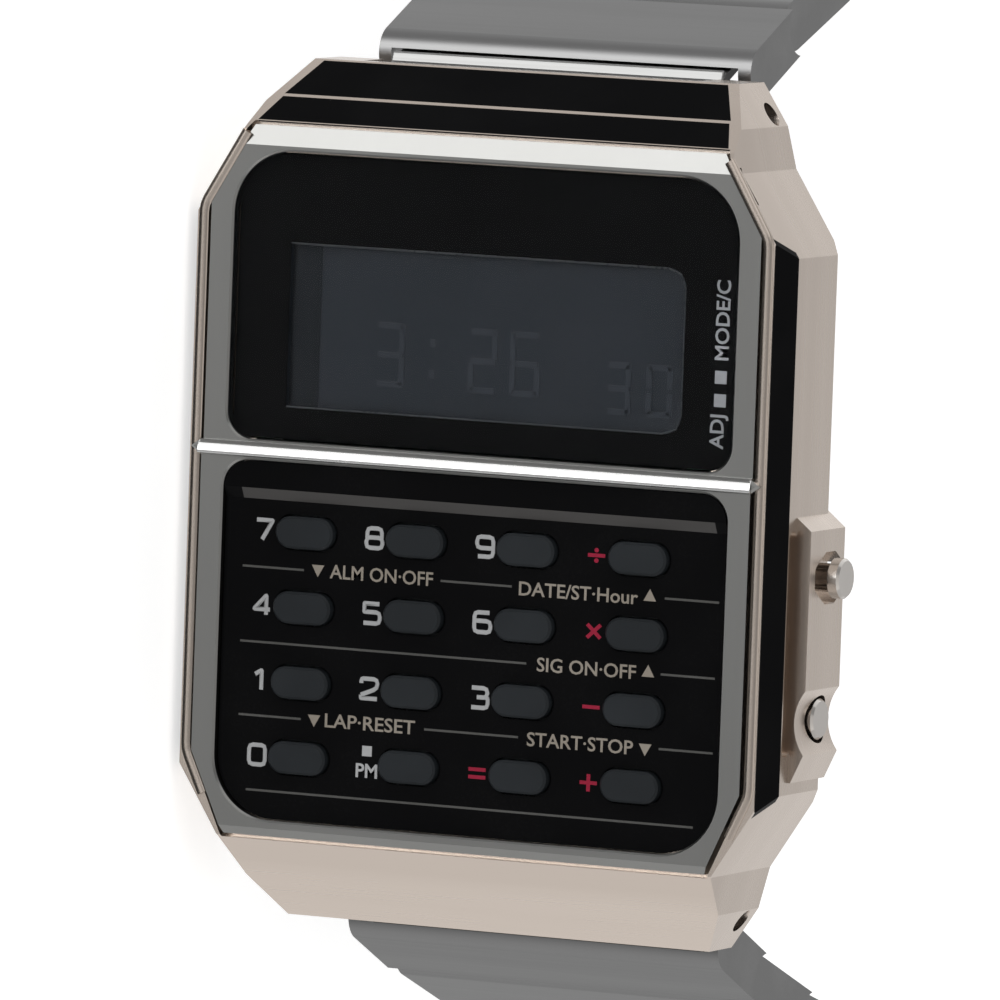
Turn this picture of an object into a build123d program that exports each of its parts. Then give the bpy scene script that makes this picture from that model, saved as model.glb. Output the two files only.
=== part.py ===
from build123d import *

import os
from math import cos, radians, sin

# A calculator watch: plated case, sixteen-key module and a folded-link bracelet whose
# clasp is undone. Frame: the origin is the centre of the case back's outer face. +Y
# points out of the back, -X towards 12 o'clock and +Z towards 3 o'clock. In the sketches
# "up" is the direction to 12 o'clock, and a height is measured from the case back.
# All lengths are in mm. A name that ends in inset, rise, drop or margin is the distance
# to the piece it belongs to.

# Case body, and the widths that follow from it
case_half_width = 16.35
shoulder_inset = 2.65
lug_root_inset = 3.2
lug_tip_inset = 4.6
rail_inset = 0.4
rail_foot_inset = 0.48
frame_inset = 1.15
frame_top_inset = 2.2
frame_bottom_inset = 1.85
window_inset = 1.25
deck_width = 1.35
shoulder_half_width = case_half_width - shoulder_inset
lug_root_half_width = case_half_width - lug_root_inset
lug_tip_half_width = case_half_width - lug_tip_inset
rail_half_width = case_half_width - rail_inset
rail_foot_half_width = case_half_width - rail_foot_inset
frame_half_width = case_half_width - frame_inset
frame_top_half_width = frame_half_width - frame_top_inset
frame_bottom_half_width = frame_half_width - frame_bottom_inset
window_half_width = frame_half_width - window_inset
cavity_half_width = window_half_width - deck_width

# Lengths of the case, towards 12 o'clock from its middle
case_half_length = 21.6
lug_root_setback = 2.1
shoulder_setback = 4.2
side_setback = 8.3
upper_slope_setback = 3.2
lower_slope_setback = 4.25
lower_crease_setback = 2.2
frame_top_margin = 0.05
frame_bottom_margin = 0.09
frame_top_corner = 3.75
frame_bottom_corner = 4.06
rim_top = 1.25
rim_bottom = 0.81
display_bottom_y = 2.6
bar_margin = 0.13
bar_width = 0.76
cavity_top_margin = 0.8
cavity_bottom_margin = 0.75
lug_root_y = case_half_length - lug_root_setback
shoulder_y = case_half_length - shoulder_setback
case_side_y = case_half_length - side_setback
upper_slope_y = case_half_length - upper_slope_setback
lower_slope_y = case_half_length - lower_slope_setback
lower_crease_y = case_half_length - lower_crease_setback
frame_top_y = upper_slope_y - frame_top_margin
frame_bottom_y = frame_bottom_margin - lower_slope_y
frame_top_side_y = frame_top_y - frame_top_corner
frame_bottom_side_y = frame_bottom_y + frame_bottom_corner
display_top_y = frame_top_y - rim_top
bar_top_y = display_bottom_y - bar_margin
bar_low_y = bar_top_y - bar_width
keypad_top_y = bar_low_y - bar_margin
keypad_bottom_y = frame_bottom_y + rim_bottom
cavity_top_y = display_top_y - cavity_top_margin
cavity_bottom_y = keypad_bottom_y + cavity_bottom_margin

# Heights of the case and of what its seat carries
back_thickness = 0.8
seat_height = 7.1
rail_rise = 0.7
rail_foot_drop = 0.25
band_foot_drop = 2.0
upper_slope_drop = 0.25
upper_slope_end_drop = 4.1
lower_crease_drop = 2.2
lower_slope_end_drop = 4.4
case_under_chamfer = 0.45
keypad_rim_rise = 0.2
bar_rise = 0.4
roll_drop = 0.25
glass_thickness = 0.62
key_plate_thickness = 0.5
top_strip_thickness = 0.8
rail_height = seat_height + rail_rise
rail_foot_height = rail_height - rail_foot_drop
band_foot_height = rail_height - band_foot_drop
upper_slope_height = rail_height - upper_slope_drop
upper_slope_end_height = rail_height - upper_slope_end_drop
lower_crease_height = rail_height - lower_crease_drop
lower_slope_end_height = rail_height - lower_slope_end_drop
keypad_rim_height = rail_height + keypad_rim_rise
bar_top_height = rail_height + bar_rise
top_roll_height = rail_height - roll_drop
bottom_roll_height = keypad_rim_height - roll_drop
glass_height = seat_height + glass_thickness
key_plane_height = seat_height + key_plate_thickness
top_strip_height = seat_height + top_strip_thickness

# Fits that several pieces share
overrun = 1.0
seat_gap = 0.2
fit_gap = 0.05
running_gap = 0.05

# Case back, gasket and screws round the cavity
cavity_corner = 3.2
gasket_margin = 0.15
gasket_width = 0.7
gasket_height = 0.5
back_side_margin = 1.6
back_end_margin = 1.9
back_corner_run = 1.2
back_corner_rise = 3.4
back_edge_chamfer = 0.3
screw_side_inset = 0.3
screw_top_margin = 0.6
screw_bottom_margin = 0.9
screw_head_radius = 0.95
screw_head_sink = 0.1
screw_head_height = 0.4
screw_shank_radius = 0.5
screw_length = 2.6
back_half_width = cavity_half_width + back_side_margin
back_top_y = cavity_top_y + back_end_margin
back_bottom_y = cavity_bottom_y - back_end_margin
screw_half_span = cavity_half_width - screw_side_inset
screw_top_y = cavity_top_y + screw_top_margin
screw_bottom_y = cavity_bottom_y - screw_bottom_margin

# Spring bars and the pockets between the lugs
bar_setback = 1.5
bar_height = 1.9
bar_radius = 0.7
bar_half_length = 9.3
bar_tip_radius = 0.47
bar_tip_reach = 0.35
lug_hole_radius = 0.55
pocket_setback = 2.9
pocket_roof_height = 3.05
bar_y = case_half_length - bar_setback
bar_tip_half_length = lug_tip_half_width + bar_tip_reach
pocket_y = case_half_length - pocket_setback

# Guard pad, its slot and the two push buttons
pad_rise = 0.8
pad_notch_rise = 0.25
pad_low_rise = 0.15
pad_low_height = 0.9
pad_high_height = 4.9
pad_low_inset = 0.6
pad_bump_rise = 1.4
pad_notch_top_rise = 4.6
pad_length = 13.36
pad_top_slope = 0.85
pad_edge = 0.25
slot_width = 0.8
slot_top_drop = 0.86
slot_low_rise = 1.3
slot_depth = 0.5
button_height = 2.5
mode_drop = 3.26
mode_cap_radius = 1.015
mode_cap_rise = 0.9
mode_cap_thickness = 0.6
mode_stem_radius = 0.71
recess_half_length = 1.3
recess_half_height = 1.75
recess_flat_half = 0.55
recess_depth = 0.9
recess_corner = 0.3
adjust_rise = 3.04
adjust_radius = 1.025
adjust_sink = 0.2
adjust_ring_gap = 0.17
chamber_rise = 2.6
spring_length = 0.8
shaft_radius = 0.45
shaft_reach = 0.45
spring_inner_radius = 0.52
spring_outer_radius = 0.66
seal_rise = 1.1
seal_width = 0.6
seal_radius = 0.9
clip_radius = 0.85
clip_thickness = 0.2
button_dome = 0.12
pad_low_y = pad_low_inset - case_side_y
pad_bump_y = pad_low_y + pad_bump_rise
pad_face_low_y = pad_low_y + pad_notch_top_rise
pad_top_y = pad_low_y + pad_length
pad_face_top_y = pad_top_y - pad_top_slope
slot_top_y = pad_top_y - slot_top_drop
slot_low_y = pad_low_y + slot_low_rise
mode_y = pad_top_y - mode_drop
adjust_y = pad_low_y + adjust_rise
pad_face = case_half_width + pad_rise
pad_notch_face = case_half_width + pad_notch_rise
pad_low_face = case_half_width + pad_low_rise
slot_top_height = pad_high_height + slot_width
mode_cap_face = pad_face + mode_cap_rise
recess_floor = pad_face - recess_depth
adjust_face = pad_face - adjust_sink
chamber_floor = cavity_half_width + chamber_rise
stem_foot = chamber_floor + spring_length
shaft_foot = cavity_half_width - shaft_reach
seal_floor = cavity_half_width + seal_rise

# Black inlays
band_depth = 0.19
band_top_reach = 2.0
band_bottom_reach = 1.1
strip_depth = 0.15
strip_start = 0.3
strip_divide = 2.1
strip_divide_inset = 0.65
divider_width = 0.2
strip_end = 4.88
strip_end_inset = 0.55
band_top_y = case_side_y + band_top_reach
band_bottom_y = -case_side_y - band_bottom_reach
strip_start_half_width = frame_top_half_width
strip_divide_half_width = frame_top_half_width - strip_divide_inset
strip_end_half_width = lug_tip_half_width - strip_end_inset

# Face frame
top_roll_length = 1.0
bottom_roll_length = 0.41
bar_point_rise = 0.55
bar_edge = 0.12
window_rim = 0.1
outer_window_corner = 3.2
inner_window_corner = 1.4
top_roll_y = frame_top_y - top_roll_length
bottom_roll_y = frame_bottom_y + bottom_roll_length
bar_point_half_width = frame_half_width + bar_point_rise

# Display
panel_side_inset = 1.1
panel_top_inset = 1.7
panel_bottom_rise = 0.8
panel_drop = 0.3
panel_thickness = 1.6
holder_side_inset = 0.2
holder_top_inset = 0.7
holder_bottom_drop = 0.1
holder_ledge = 0.9
holder_corner = 2.2
strip_side_inset = 1.5
strip_top_inset = 1.0
strip_width = 1.0
panel_half_width = cavity_half_width - panel_side_inset
panel_top_y = cavity_top_y - panel_top_inset
panel_bottom_y = display_bottom_y + panel_bottom_rise
panel_high_height = seat_height - panel_drop
panel_low_height = panel_high_height - panel_thickness
holder_half_width = cavity_half_width - holder_side_inset
holder_top_y = cavity_top_y - holder_top_inset
holder_bottom_y = display_bottom_y - holder_bottom_drop
strip_half_length = panel_half_width - strip_side_inset
strip_y = panel_top_y - strip_top_inset

# Module
module_lift = 0.4
module_thickness = 2.0
board_thickness = 0.6
board_side_inset = 1.2
board_top_inset = 0.7
board_bottom_inset = 0.5
board_corner = 2.4
chip_half_size = 2.6
chip_height = 0.35
cell_side_margin = 1.4
cell_end_margin = 0.7
cell_height = 1.6
cell_rim_width = 1.4
cell_rim_height = 0.25
cell_gap = 0.1
foot_radius = 0.8
foot_side_inset = 1.5
foot_end_inset = 1.6
clip_end_inset = 0.3
clip_half_width = 2.4
clip_sheet = 0.2
clip_rim = 0.8
buzzer_top_margin = 1.1
buzzer_lap = 0.3
buzzer_thickness = 0.2
module_low_height = back_thickness + module_lift
board_low_height = module_low_height + module_thickness
board_high_height = board_low_height + board_thickness
board_half_width = cavity_half_width - board_side_inset
board_top_y = cavity_top_y - board_top_inset
board_bottom_y = cavity_bottom_y + board_bottom_inset
foot_half_span = board_half_width - foot_side_inset
foot_top_y = board_top_y - foot_end_inset
foot_bottom_y = board_bottom_y + foot_end_inset
clip_half_length = board_half_width - clip_end_inset
cell_radius = board_half_width - cell_side_margin
cell_rim_radius = cell_radius - cell_rim_width
cell_y = board_bottom_y + cell_end_margin + cell_radius
buzzer_top_y = cavity_top_y - buzzer_top_margin
buzzer_radius = (buzzer_top_y - cell_y - cell_radius + buzzer_lap) / 2
buzzer_y = buzzer_top_y - buzzer_radius

# Keys
key_columns = 4
key_rows = 4
key_first_inset = 4.62
key_last_inset = 4.83
key_first_drop = 3.49
key_last_rise = 3.23
key_length = 3.2
key_width = 1.6
key_rise = 0.9
key_edge = 0.12
key_gap = 0.12
key_travel = 0.4
flange_length = 3.9
flange_width = 2.3
flange_height = 0.4
top_strip_drop = 1.4
top_strip_slope = 0.55
sheet_side_inset = 0.8
sheet_top_drop = 0.6
sheet_thickness = 0.8
pillar_radius = 1.0
pillar_taper = 14
key_first_x = key_first_inset - window_half_width
key_first_y = keypad_top_y - key_first_drop
key_last_x = window_half_width - key_last_inset
key_last_y = keypad_bottom_y + key_last_rise
key_pitch_x = (key_last_x - key_first_x) / (key_columns - 1)
key_pitch_y = (key_first_y - key_last_y) / (key_rows - 1)
key_top_height = seat_height + key_rise
top_strip_y = keypad_top_y - top_strip_drop
sheet_half_width = cavity_half_width - sheet_side_inset
sheet_top_y = keypad_top_y - sheet_top_drop
sheet_bottom_y = board_bottom_y
pillar_height = seat_height - flange_height - key_travel - running_gap

# Bracelet. The angles are those of each link below the face, open and as worn.
link_radius = 1.3
link_sheet = 0.4
link_relief = 0.2
cheek = 0.7
lip_height = 0.75
barrel_radius = 0.8
pin_radius = 0.45
tongue_sheet = 0.44
tongue_gap = 0.15
tongue_root = 3.2
tongue_root_length = 0.7
tongue_reach = 1.75
tongue_overlap = 0.62
end_pitch = 9.35
end_start = 2.9
end_side_margin = 1.05
end_tube_wall = 0.3
end_tongue_inset = 0.15
end_tongue_low = 0.15
end_tongue_high = 0.6
end_tongue_rise = 5.2
link_pitch = 7.2
link_taper = 0.42
open_angles = (64.5, 69, 73, 77, 81, 85, 89, 93)
worn_angles = (64.5, 69, 79, 91, 107, 125, 143)
end_half_width = bar_half_length + end_side_margin
end_tube_radius = bar_radius + running_gap + end_tube_wall
end_tongue_half_width = bar_half_length - end_tongue_inset

# Clasp
clasp_side_inset = 0.06
head_length = 2.2
leaf_side_inset = 0.9
leaf_half_height = 0.3
leaf_slots = 6
leaf_slot_pitch = 2.6
leaf_slot_start = 6.0
leaf_slot_length = 1.0
leaf_slot_inset = 2.4
slider_start = 5.8
slider_travel = 2.6
slider_side_inset = 0.1
slider_wall = 0.5
slider_gap = 0.1
slider_front_gap = 0.73
slider_front_wall = 0.95
seat_radius = 0.85
catch_reach = 5.37
catch_radius = 0.7
hinge_margin = 0.05
ear_radius = 0.75
ear_thickness = 0.7
lever_setback = 1.2
lever_reach = 2.85
cover_setback = 5.0
cover_sheet = 0.5
cover_root = 1.15
cover_side_margin = 0.1
cover_side = 0.4
cover_side_drop = 1.9
cover_side_start = 0.5
cover_front_gap = 0.37
cover_edge = 0.3
clasp_half_width = end_half_width - (len(worn_angles)) * link_taper - clasp_side_inset
leaf_half_width = clasp_half_width - leaf_side_inset
leaf_slot_half_width = leaf_half_width - leaf_slot_inset
slider_half_width = clasp_half_width - slider_side_inset
slider_half_height = leaf_half_height + slider_gap + slider_wall
hinge_rise = slider_half_height + barrel_radius + hinge_margin
lever_hinge = slider_start + lever_setback
cover_hinge = slider_start + cover_setback
cover_half_width = slider_half_width + cover_side_margin + cover_side

key_names = (
    "key_7", "key_8", "key_9", "key_divide",
    "key_4", "key_5", "key_6", "key_multiply",
    "key_1", "key_2", "key_3", "key_subtract",
    "key_0", "key_point", "key_equals", "key_add",
)

os.makedirs("parts", exist_ok=True)


def face_plane(height):
    """Parallel to the face: sketch x to 3 o'clock, y to 12 o'clock, extruded outward."""
    return Plane(origin=(0, -height, 0), x_dir=(0, 0, 1), z_dir=(0, -1, 0))


def side_plane(across):
    """Along the case: sketch x to 12 o'clock, y is the height, extruded to 3 o'clock."""
    return Plane(origin=(0, 0, across), x_dir=(-1, 0, 0), z_dir=(0, 0, 1))


def cross_plane(up):
    """Across the case: sketch x to 3 o'clock, y is the height, extruded to 6 o'clock."""
    return Plane(origin=(-up, 0, 0), x_dir=(0, 0, 1), z_dir=(1, 0, 0))


def chain_plane(up, height, angle, side):
    """At a hinge of the bracelet: sketch x along the chain, y out of the bracelet."""
    along = (-side * cos(radians(angle)), sin(radians(angle)), 0)
    return Plane(origin=(-up, -height, 0), x_dir=along, z_dir=(0, 0, side))


def mirrored(points):
    """Closes the 3 o'clock half of an outline with its mirror image."""
    return points + [(-x, y) for x, y in reversed(points)]


def save(piece, name):
    piece.part.label = name
    export_step(piece.part, f"parts/{name}.step")


# Outlines that several pieces share
upper_corner = [
    (lug_tip_half_width, case_half_length),
    (lug_root_half_width, lug_root_y),
    (shoulder_half_width, shoulder_y),
    (case_half_width, case_side_y),
]
lower_corner = [(x, -y) for x, y in reversed(upper_corner)]
case_outline = mirrored(upper_corner + lower_corner)
frame_outline = mirrored([
    (frame_top_half_width, frame_top_y),
    (frame_half_width, frame_top_side_y),
    (frame_half_width, frame_bottom_side_y),
    (frame_bottom_half_width, frame_bottom_y),
])
case_side = [
    (-case_half_length, back_thickness),
    (-case_half_length, lower_slope_end_height),
    (-lower_crease_y, lower_crease_height),
    (-lower_slope_y, rail_height),
    (upper_slope_y - (rail_height - upper_slope_height), rail_height),
    (upper_slope_y, upper_slope_height),
    (case_half_length, upper_slope_end_height),
    (case_half_length, back_thickness),
]
case_cross = mirrored([
    (rail_half_width, rail_height),
    (rail_foot_half_width, rail_foot_height),
    (case_half_width, band_foot_height),
    (case_half_width, back_thickness + case_under_chamfer),
    (case_half_width - case_under_chamfer, back_thickness),
])
band_section = [
    (rail_foot_half_width, rail_foot_height),
    (case_half_width, band_foot_height),
    (case_half_width - band_depth, band_foot_height),
    (rail_foot_half_width - band_depth, rail_foot_height),
]
cavity_width = 2 * cavity_half_width
cavity_length = cavity_top_y - cavity_bottom_y
cavity_centre = (0, (cavity_top_y + cavity_bottom_y) / 2)
screw_places = [
    (side * screw_half_span, y)
    for y in (screw_top_y, screw_bottom_y)
    for side in (1, -1)
]
key_places = [
    (key_first_x + column * key_pitch_x, key_first_y - row * key_pitch_y)
    for row in range(key_rows)
    for column in range(key_columns)
]

# The slope at 12 o'clock, with sketch y running down it from the face edge
slope_run = case_half_length - upper_slope_y
slope_drop = upper_slope_height - upper_slope_end_height
slope_plane = Plane(
    origin=(-upper_slope_y, -upper_slope_height, 0),
    x_dir=(0, 0, 1),
    z_dir=(-slope_drop, -slope_run, 0),
)
upper_strip = mirrored([
    (strip_start_half_width, strip_start),
    (strip_divide_half_width, strip_divide),
])
lower_strip = mirrored([
    (strip_divide_half_width, strip_divide + divider_width),
    (strip_end_half_width, strip_end),
])

# Case body: the plan, cut to the side view and then to the cross view
with BuildPart() as case_body:
    with BuildSketch(face_plane(back_thickness)):
        Polygon(*case_outline, align=None)
    extrude(amount=rail_height - back_thickness)
    with BuildSketch(side_plane(-case_half_width - overrun)):
        Polygon(*case_side, align=None)
    extrude(amount=2 * (case_half_width + overrun), mode=Mode.INTERSECT)
    with BuildSketch(cross_plane(case_half_length + overrun)):
        Polygon(*case_cross, align=None)
    extrude(amount=2 * (case_half_length + overrun), mode=Mode.INTERSECT)
    # Guard pad with its hollow beside the adjust button
    with BuildSketch(face_plane(pad_low_height)):
        with BuildLine():
            Polyline(
                (case_half_width - pad_edge, pad_top_y),
                (pad_face, pad_face_top_y),
                (pad_face, pad_face_low_y),
            )
            ThreePointArc(
                (pad_face, pad_face_low_y),
                (pad_notch_face, (pad_face_low_y + pad_bump_y) / 2),
                (pad_face, pad_bump_y),
            )
            Polyline(
                (pad_face, pad_bump_y),
                (pad_low_face, pad_low_y),
                (case_half_width - pad_edge, pad_low_y),
                (case_half_width - pad_edge, pad_top_y),
            )
        make_face()
    extrude(amount=pad_high_height - pad_low_height)
    # Seat of the face frame, and the cavity that the module goes into from the back
    with BuildSketch(face_plane(seat_height)):
        Polygon(*frame_outline, align=None)
        offset(amount=seat_gap, kind=Kind.INTERSECTION)
    extrude(amount=overrun, mode=Mode.SUBTRACT)
    with BuildSketch(face_plane(back_thickness)):
        with Locations(cavity_centre):
            RectangleRounded(cavity_width, cavity_length, cavity_corner)
    extrude(amount=seat_height - back_thickness, mode=Mode.SUBTRACT)
    with BuildSketch(face_plane(back_thickness)):
        with Locations(cavity_centre):
            RectangleRounded(
                cavity_width + 2 * (gasket_margin + gasket_width),
                cavity_length + 2 * (gasket_margin + gasket_width),
                cavity_corner + gasket_margin + gasket_width,
            )
            RectangleRounded(
                cavity_width + 2 * gasket_margin,
                cavity_length + 2 * gasket_margin,
                cavity_corner + gasket_margin,
                mode=Mode.SUBTRACT,
            )
    extrude(amount=gasket_height, mode=Mode.SUBTRACT)
    with BuildSketch(face_plane(back_thickness)):
        with Locations(*screw_places):
            Circle(screw_shank_radius + running_gap)
    extrude(amount=screw_length + overrun, mode=Mode.SUBTRACT)
    # Pockets for the end links, and the holes for the spring bars
    with BuildSketch(side_plane(-bar_half_length - running_gap)):
        for end in (1, -1):
            with Locations((end * (pocket_y + case_half_length) / 2, pocket_roof_height / 2)):
                Rectangle(case_half_length - pocket_y, pocket_roof_height)
    extrude(amount=2 * (bar_half_length + running_gap), mode=Mode.SUBTRACT)
    with BuildSketch(side_plane(-case_half_width)):
        with Locations((bar_y, bar_height), (-bar_y, bar_height)):
            Circle(lug_hole_radius)
    extrude(amount=2 * case_half_width, mode=Mode.SUBTRACT)
    # Slot over the guard pad, recess of the mode button and the two stepped bores
    with BuildSketch(side_plane(case_half_width - slot_depth)):
        with Locations(((slot_top_y + slot_low_y) / 2, (pad_high_height + slot_top_height) / 2)):
            SlotOverall(slot_top_y - slot_low_y, slot_top_height - pad_high_height)
    extrude(amount=slot_depth + overrun, mode=Mode.SUBTRACT)
    with BuildSketch(side_plane(recess_floor)) as recess:
        with Locations((mode_y, button_height)):
            Polygon(
                (recess_half_length, recess_flat_half),
                (recess_flat_half, recess_half_height),
                (-recess_flat_half, recess_half_height),
                (-recess_half_length, recess_flat_half),
                (-recess_half_length, -recess_flat_half),
                (-recess_flat_half, -recess_half_height),
                (recess_flat_half, -recess_half_height),
                (recess_half_length, -recess_flat_half),
                align=None,
            )
        fillet(recess.vertices(), radius=recess_corner)
    extrude(amount=pad_face - recess_floor + overrun, mode=Mode.SUBTRACT)
    with BuildSketch(side_plane(chamber_floor)):
        with Locations((mode_y, button_height)):
            Circle(mode_stem_radius + running_gap)
        with Locations((adjust_y, button_height)):
            Circle(adjust_radius + adjust_ring_gap)
    extrude(amount=pad_face - chamber_floor + overrun, mode=Mode.SUBTRACT)
    with BuildSketch(side_plane(cavity_half_width - overrun)):
        with Locations((mode_y, button_height), (adjust_y, button_height)):
            Circle(shaft_radius + running_gap)
    extrude(amount=chamber_floor - cavity_half_width + overrun, mode=Mode.SUBTRACT)
    with BuildSketch(side_plane(seal_floor)):
        with Locations((mode_y, button_height), (adjust_y, button_height)):
            Circle(seal_radius)
    extrude(amount=seal_width, mode=Mode.SUBTRACT)
    # Seats of the black inlays
    with BuildSketch(cross_plane(band_top_y)):
        Polygon(*band_section, align=None)
        mirror(about=Plane.YZ)
    extrude(amount=band_top_y - band_bottom_y, mode=Mode.SUBTRACT)
    with BuildSketch(slope_plane):
        Polygon(*upper_strip, align=None)
        Polygon(*lower_strip, align=None)
    extrude(amount=-strip_depth, mode=Mode.SUBTRACT)
save(case_body, "case_body")

with BuildPart() as side_inlays:
    with BuildSketch(cross_plane(band_top_y)):
        Polygon(*band_section, align=None)
        mirror(about=Plane.YZ)
    extrude(amount=band_top_y - band_bottom_y)
    with BuildSketch(face_plane(back_thickness)):
        Polygon(*case_outline, align=None)
    extrude(amount=rail_height - back_thickness, mode=Mode.INTERSECT)
save(side_inlays, "side_inlays")

with BuildPart() as upper_inlays:
    with BuildSketch(slope_plane):
        Polygon(*upper_strip, align=None)
        Polygon(*lower_strip, align=None)
    extrude(amount=-strip_depth)
save(upper_inlays, "upper_inlays")

# Face frame: the plan cut to its side view, then the two openings
with BuildPart() as face_frame:
    with BuildSketch(face_plane(seat_height)):
        Polygon(*frame_outline, align=None)
    extrude(amount=keypad_rim_height - seat_height)
    with BuildSketch(side_plane(-frame_half_width)):
        Polygon(
            (frame_top_y, seat_height),
            (frame_top_y, top_roll_height),
            (top_roll_y, rail_height),
            (bar_low_y, rail_height),
            (bar_low_y, keypad_rim_height),
            (bottom_roll_y, keypad_rim_height),
            (frame_bottom_y, bottom_roll_height),
            (frame_bottom_y, seat_height),
            align=None,
        )
    extrude(amount=2 * frame_half_width, mode=Mode.INTERSECT)
    with BuildSketch(face_plane(rail_height)):
        Polygon(
            *mirrored([
                (frame_half_width, bar_top_y),
                (bar_point_half_width, (bar_top_y + bar_low_y) / 2),
                (frame_half_width, bar_low_y),
            ]),
            align=None,
        )
    extrude(amount=bar_top_height - rail_height)
    chamfer(face_frame.faces().sort_by(Axis.Y)[0].edges(), length=bar_edge)
    with BuildSketch(face_plane(seat_height)) as display_hole:
        with Locations((0, (display_top_y + display_bottom_y) / 2)):
            Rectangle(2 * window_half_width, display_top_y - display_bottom_y)
        fillet(display_hole.vertices().group_by(Axis.Y)[-1], radius=outer_window_corner)
        fillet(display_hole.vertices().group_by(Axis.Y)[0], radius=inner_window_corner)
    extrude(amount=overrun + overrun, mode=Mode.SUBTRACT)
    with BuildSketch(face_plane(seat_height)) as keypad_hole:
        with Locations((0, (keypad_top_y + keypad_bottom_y) / 2)):
            Rectangle(2 * window_half_width, keypad_top_y - keypad_bottom_y)
        fillet(keypad_hole.vertices().group_by(Axis.Y)[0], radius=outer_window_corner)
        fillet(keypad_hole.vertices().group_by(Axis.Y)[-1], radius=inner_window_corner)
    extrude(amount=overrun + overrun, mode=Mode.SUBTRACT)
    level_faces = face_frame.faces().filter_by(Axis.Y).sort_by(Axis.Y)
    pierced = [face for face in level_faces if face.inner_wires()]
    rims = [edge for face in pierced[:2] for edge in face.inner_wires()[0].edges()]
    chamfer(rims, length=window_rim)
save(face_frame, "face_frame")

with BuildPart() as display_window:
    with BuildSketch(face_plane(seat_height)) as glass:
        with Locations((0, (display_top_y + display_bottom_y) / 2)):
            Rectangle(
                2 * (window_half_width - fit_gap),
                display_top_y - display_bottom_y - 2 * fit_gap,
            )
        fillet(glass.vertices().group_by(Axis.Y)[-1], radius=outer_window_corner - fit_gap)
        fillet(glass.vertices().group_by(Axis.Y)[0], radius=inner_window_corner - fit_gap)
    extrude(amount=glass_height - seat_height)
save(display_window, "display_window")

# Key panel: a raised strip along its top edge slopes down to the plane of the keys
with BuildPart() as key_panel:
    with BuildSketch(face_plane(seat_height)) as plate:
        with Locations((0, (keypad_top_y + keypad_bottom_y) / 2)):
            Rectangle(
                2 * (window_half_width - fit_gap),
                keypad_top_y - keypad_bottom_y - 2 * fit_gap,
            )
        fillet(plate.vertices().group_by(Axis.Y)[0], radius=outer_window_corner - fit_gap)
        fillet(plate.vertices().group_by(Axis.Y)[-1], radius=inner_window_corner - fit_gap)
    extrude(amount=top_strip_height - seat_height)
    with BuildSketch(side_plane(-window_half_width)):
        Polygon(
            (keypad_bottom_y, key_plane_height),
            (top_strip_y - top_strip_slope, key_plane_height),
            (top_strip_y, top_strip_height),
            (top_strip_y, top_strip_height + overrun),
            (keypad_bottom_y, top_strip_height + overrun),
            align=None,
        )
    extrude(amount=2 * window_half_width, mode=Mode.SUBTRACT)
    with BuildSketch(face_plane(seat_height)):
        with Locations(*key_places):
            SlotOverall(key_length + 2 * key_gap, key_width + 2 * key_gap)
    extrude(amount=overrun, mode=Mode.SUBTRACT)
save(key_panel, "key_panel")

for name, place in zip(key_names, key_places):
    with BuildPart() as key:
        with BuildSketch(face_plane(seat_height - flange_height)):
            with Locations(place):
                Rectangle(flange_length, flange_width)
        extrude(amount=flange_height)
        with BuildSketch(face_plane(seat_height)):
            with Locations(place):
                SlotOverall(key_length, key_width)
        extrude(amount=key_top_height - seat_height)
        chamfer(key.faces().sort_by(Axis.Y)[0].edges(), length=key_edge)
    save(key, name)

# Rubber sheet: one tapered pillar stands under each key
with BuildPart() as key_sheet:
    with BuildSketch(face_plane(board_high_height)):
        with Locations((0, (sheet_top_y + sheet_bottom_y) / 2)):
            RectangleRounded(2 * sheet_half_width, sheet_top_y - sheet_bottom_y, board_corner)
    extrude(amount=sheet_thickness)
    with BuildSketch(face_plane(board_high_height + sheet_thickness)):
        with Locations(*key_places):
            Circle(pillar_radius)
    extrude(amount=pillar_height - board_high_height - sheet_thickness, taper=pillar_taper)
save(key_sheet, "key_sheet")

with BuildPart() as lcd_panel:
    with BuildSketch(face_plane(panel_low_height)):
        with Locations((0, (panel_top_y + panel_bottom_y) / 2)):
            Rectangle(2 * panel_half_width, panel_top_y - panel_bottom_y)
    extrude(amount=panel_high_height - panel_low_height)
save(lcd_panel, "lcd_panel")

# Panel frame: walls round the panel and a ledge under its two sides
with BuildPart() as lcd_holder:
    with BuildSketch(face_plane(board_high_height)):
        with Locations((0, (holder_top_y + holder_bottom_y) / 2)):
            RectangleRounded(2 * holder_half_width, holder_top_y - holder_bottom_y, holder_corner)
    extrude(amount=seat_height - board_high_height)
    with BuildSketch(face_plane(panel_low_height)):
        with Locations((0, (panel_top_y + panel_bottom_y) / 2)):
            Rectangle(
                2 * (panel_half_width + fit_gap),
                panel_top_y - panel_bottom_y + 2 * fit_gap,
            )
    extrude(amount=seat_height - panel_low_height, mode=Mode.SUBTRACT)
    with BuildSketch(face_plane(board_high_height)):
        with Locations((0, (panel_top_y + panel_bottom_y) / 2)):
            Rectangle(2 * (panel_half_width - holder_ledge), panel_top_y - panel_bottom_y)
    extrude(amount=seat_height - board_high_height, mode=Mode.SUBTRACT)
save(lcd_holder, "lcd_holder")

with BuildPart() as contact_strip:
    with BuildSketch(face_plane(board_high_height)):
        with Locations((0, strip_y)):
            Rectangle(2 * strip_half_length, strip_width)
    extrude(amount=panel_low_height - board_high_height)
save(contact_strip, "contact_strip")

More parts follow.
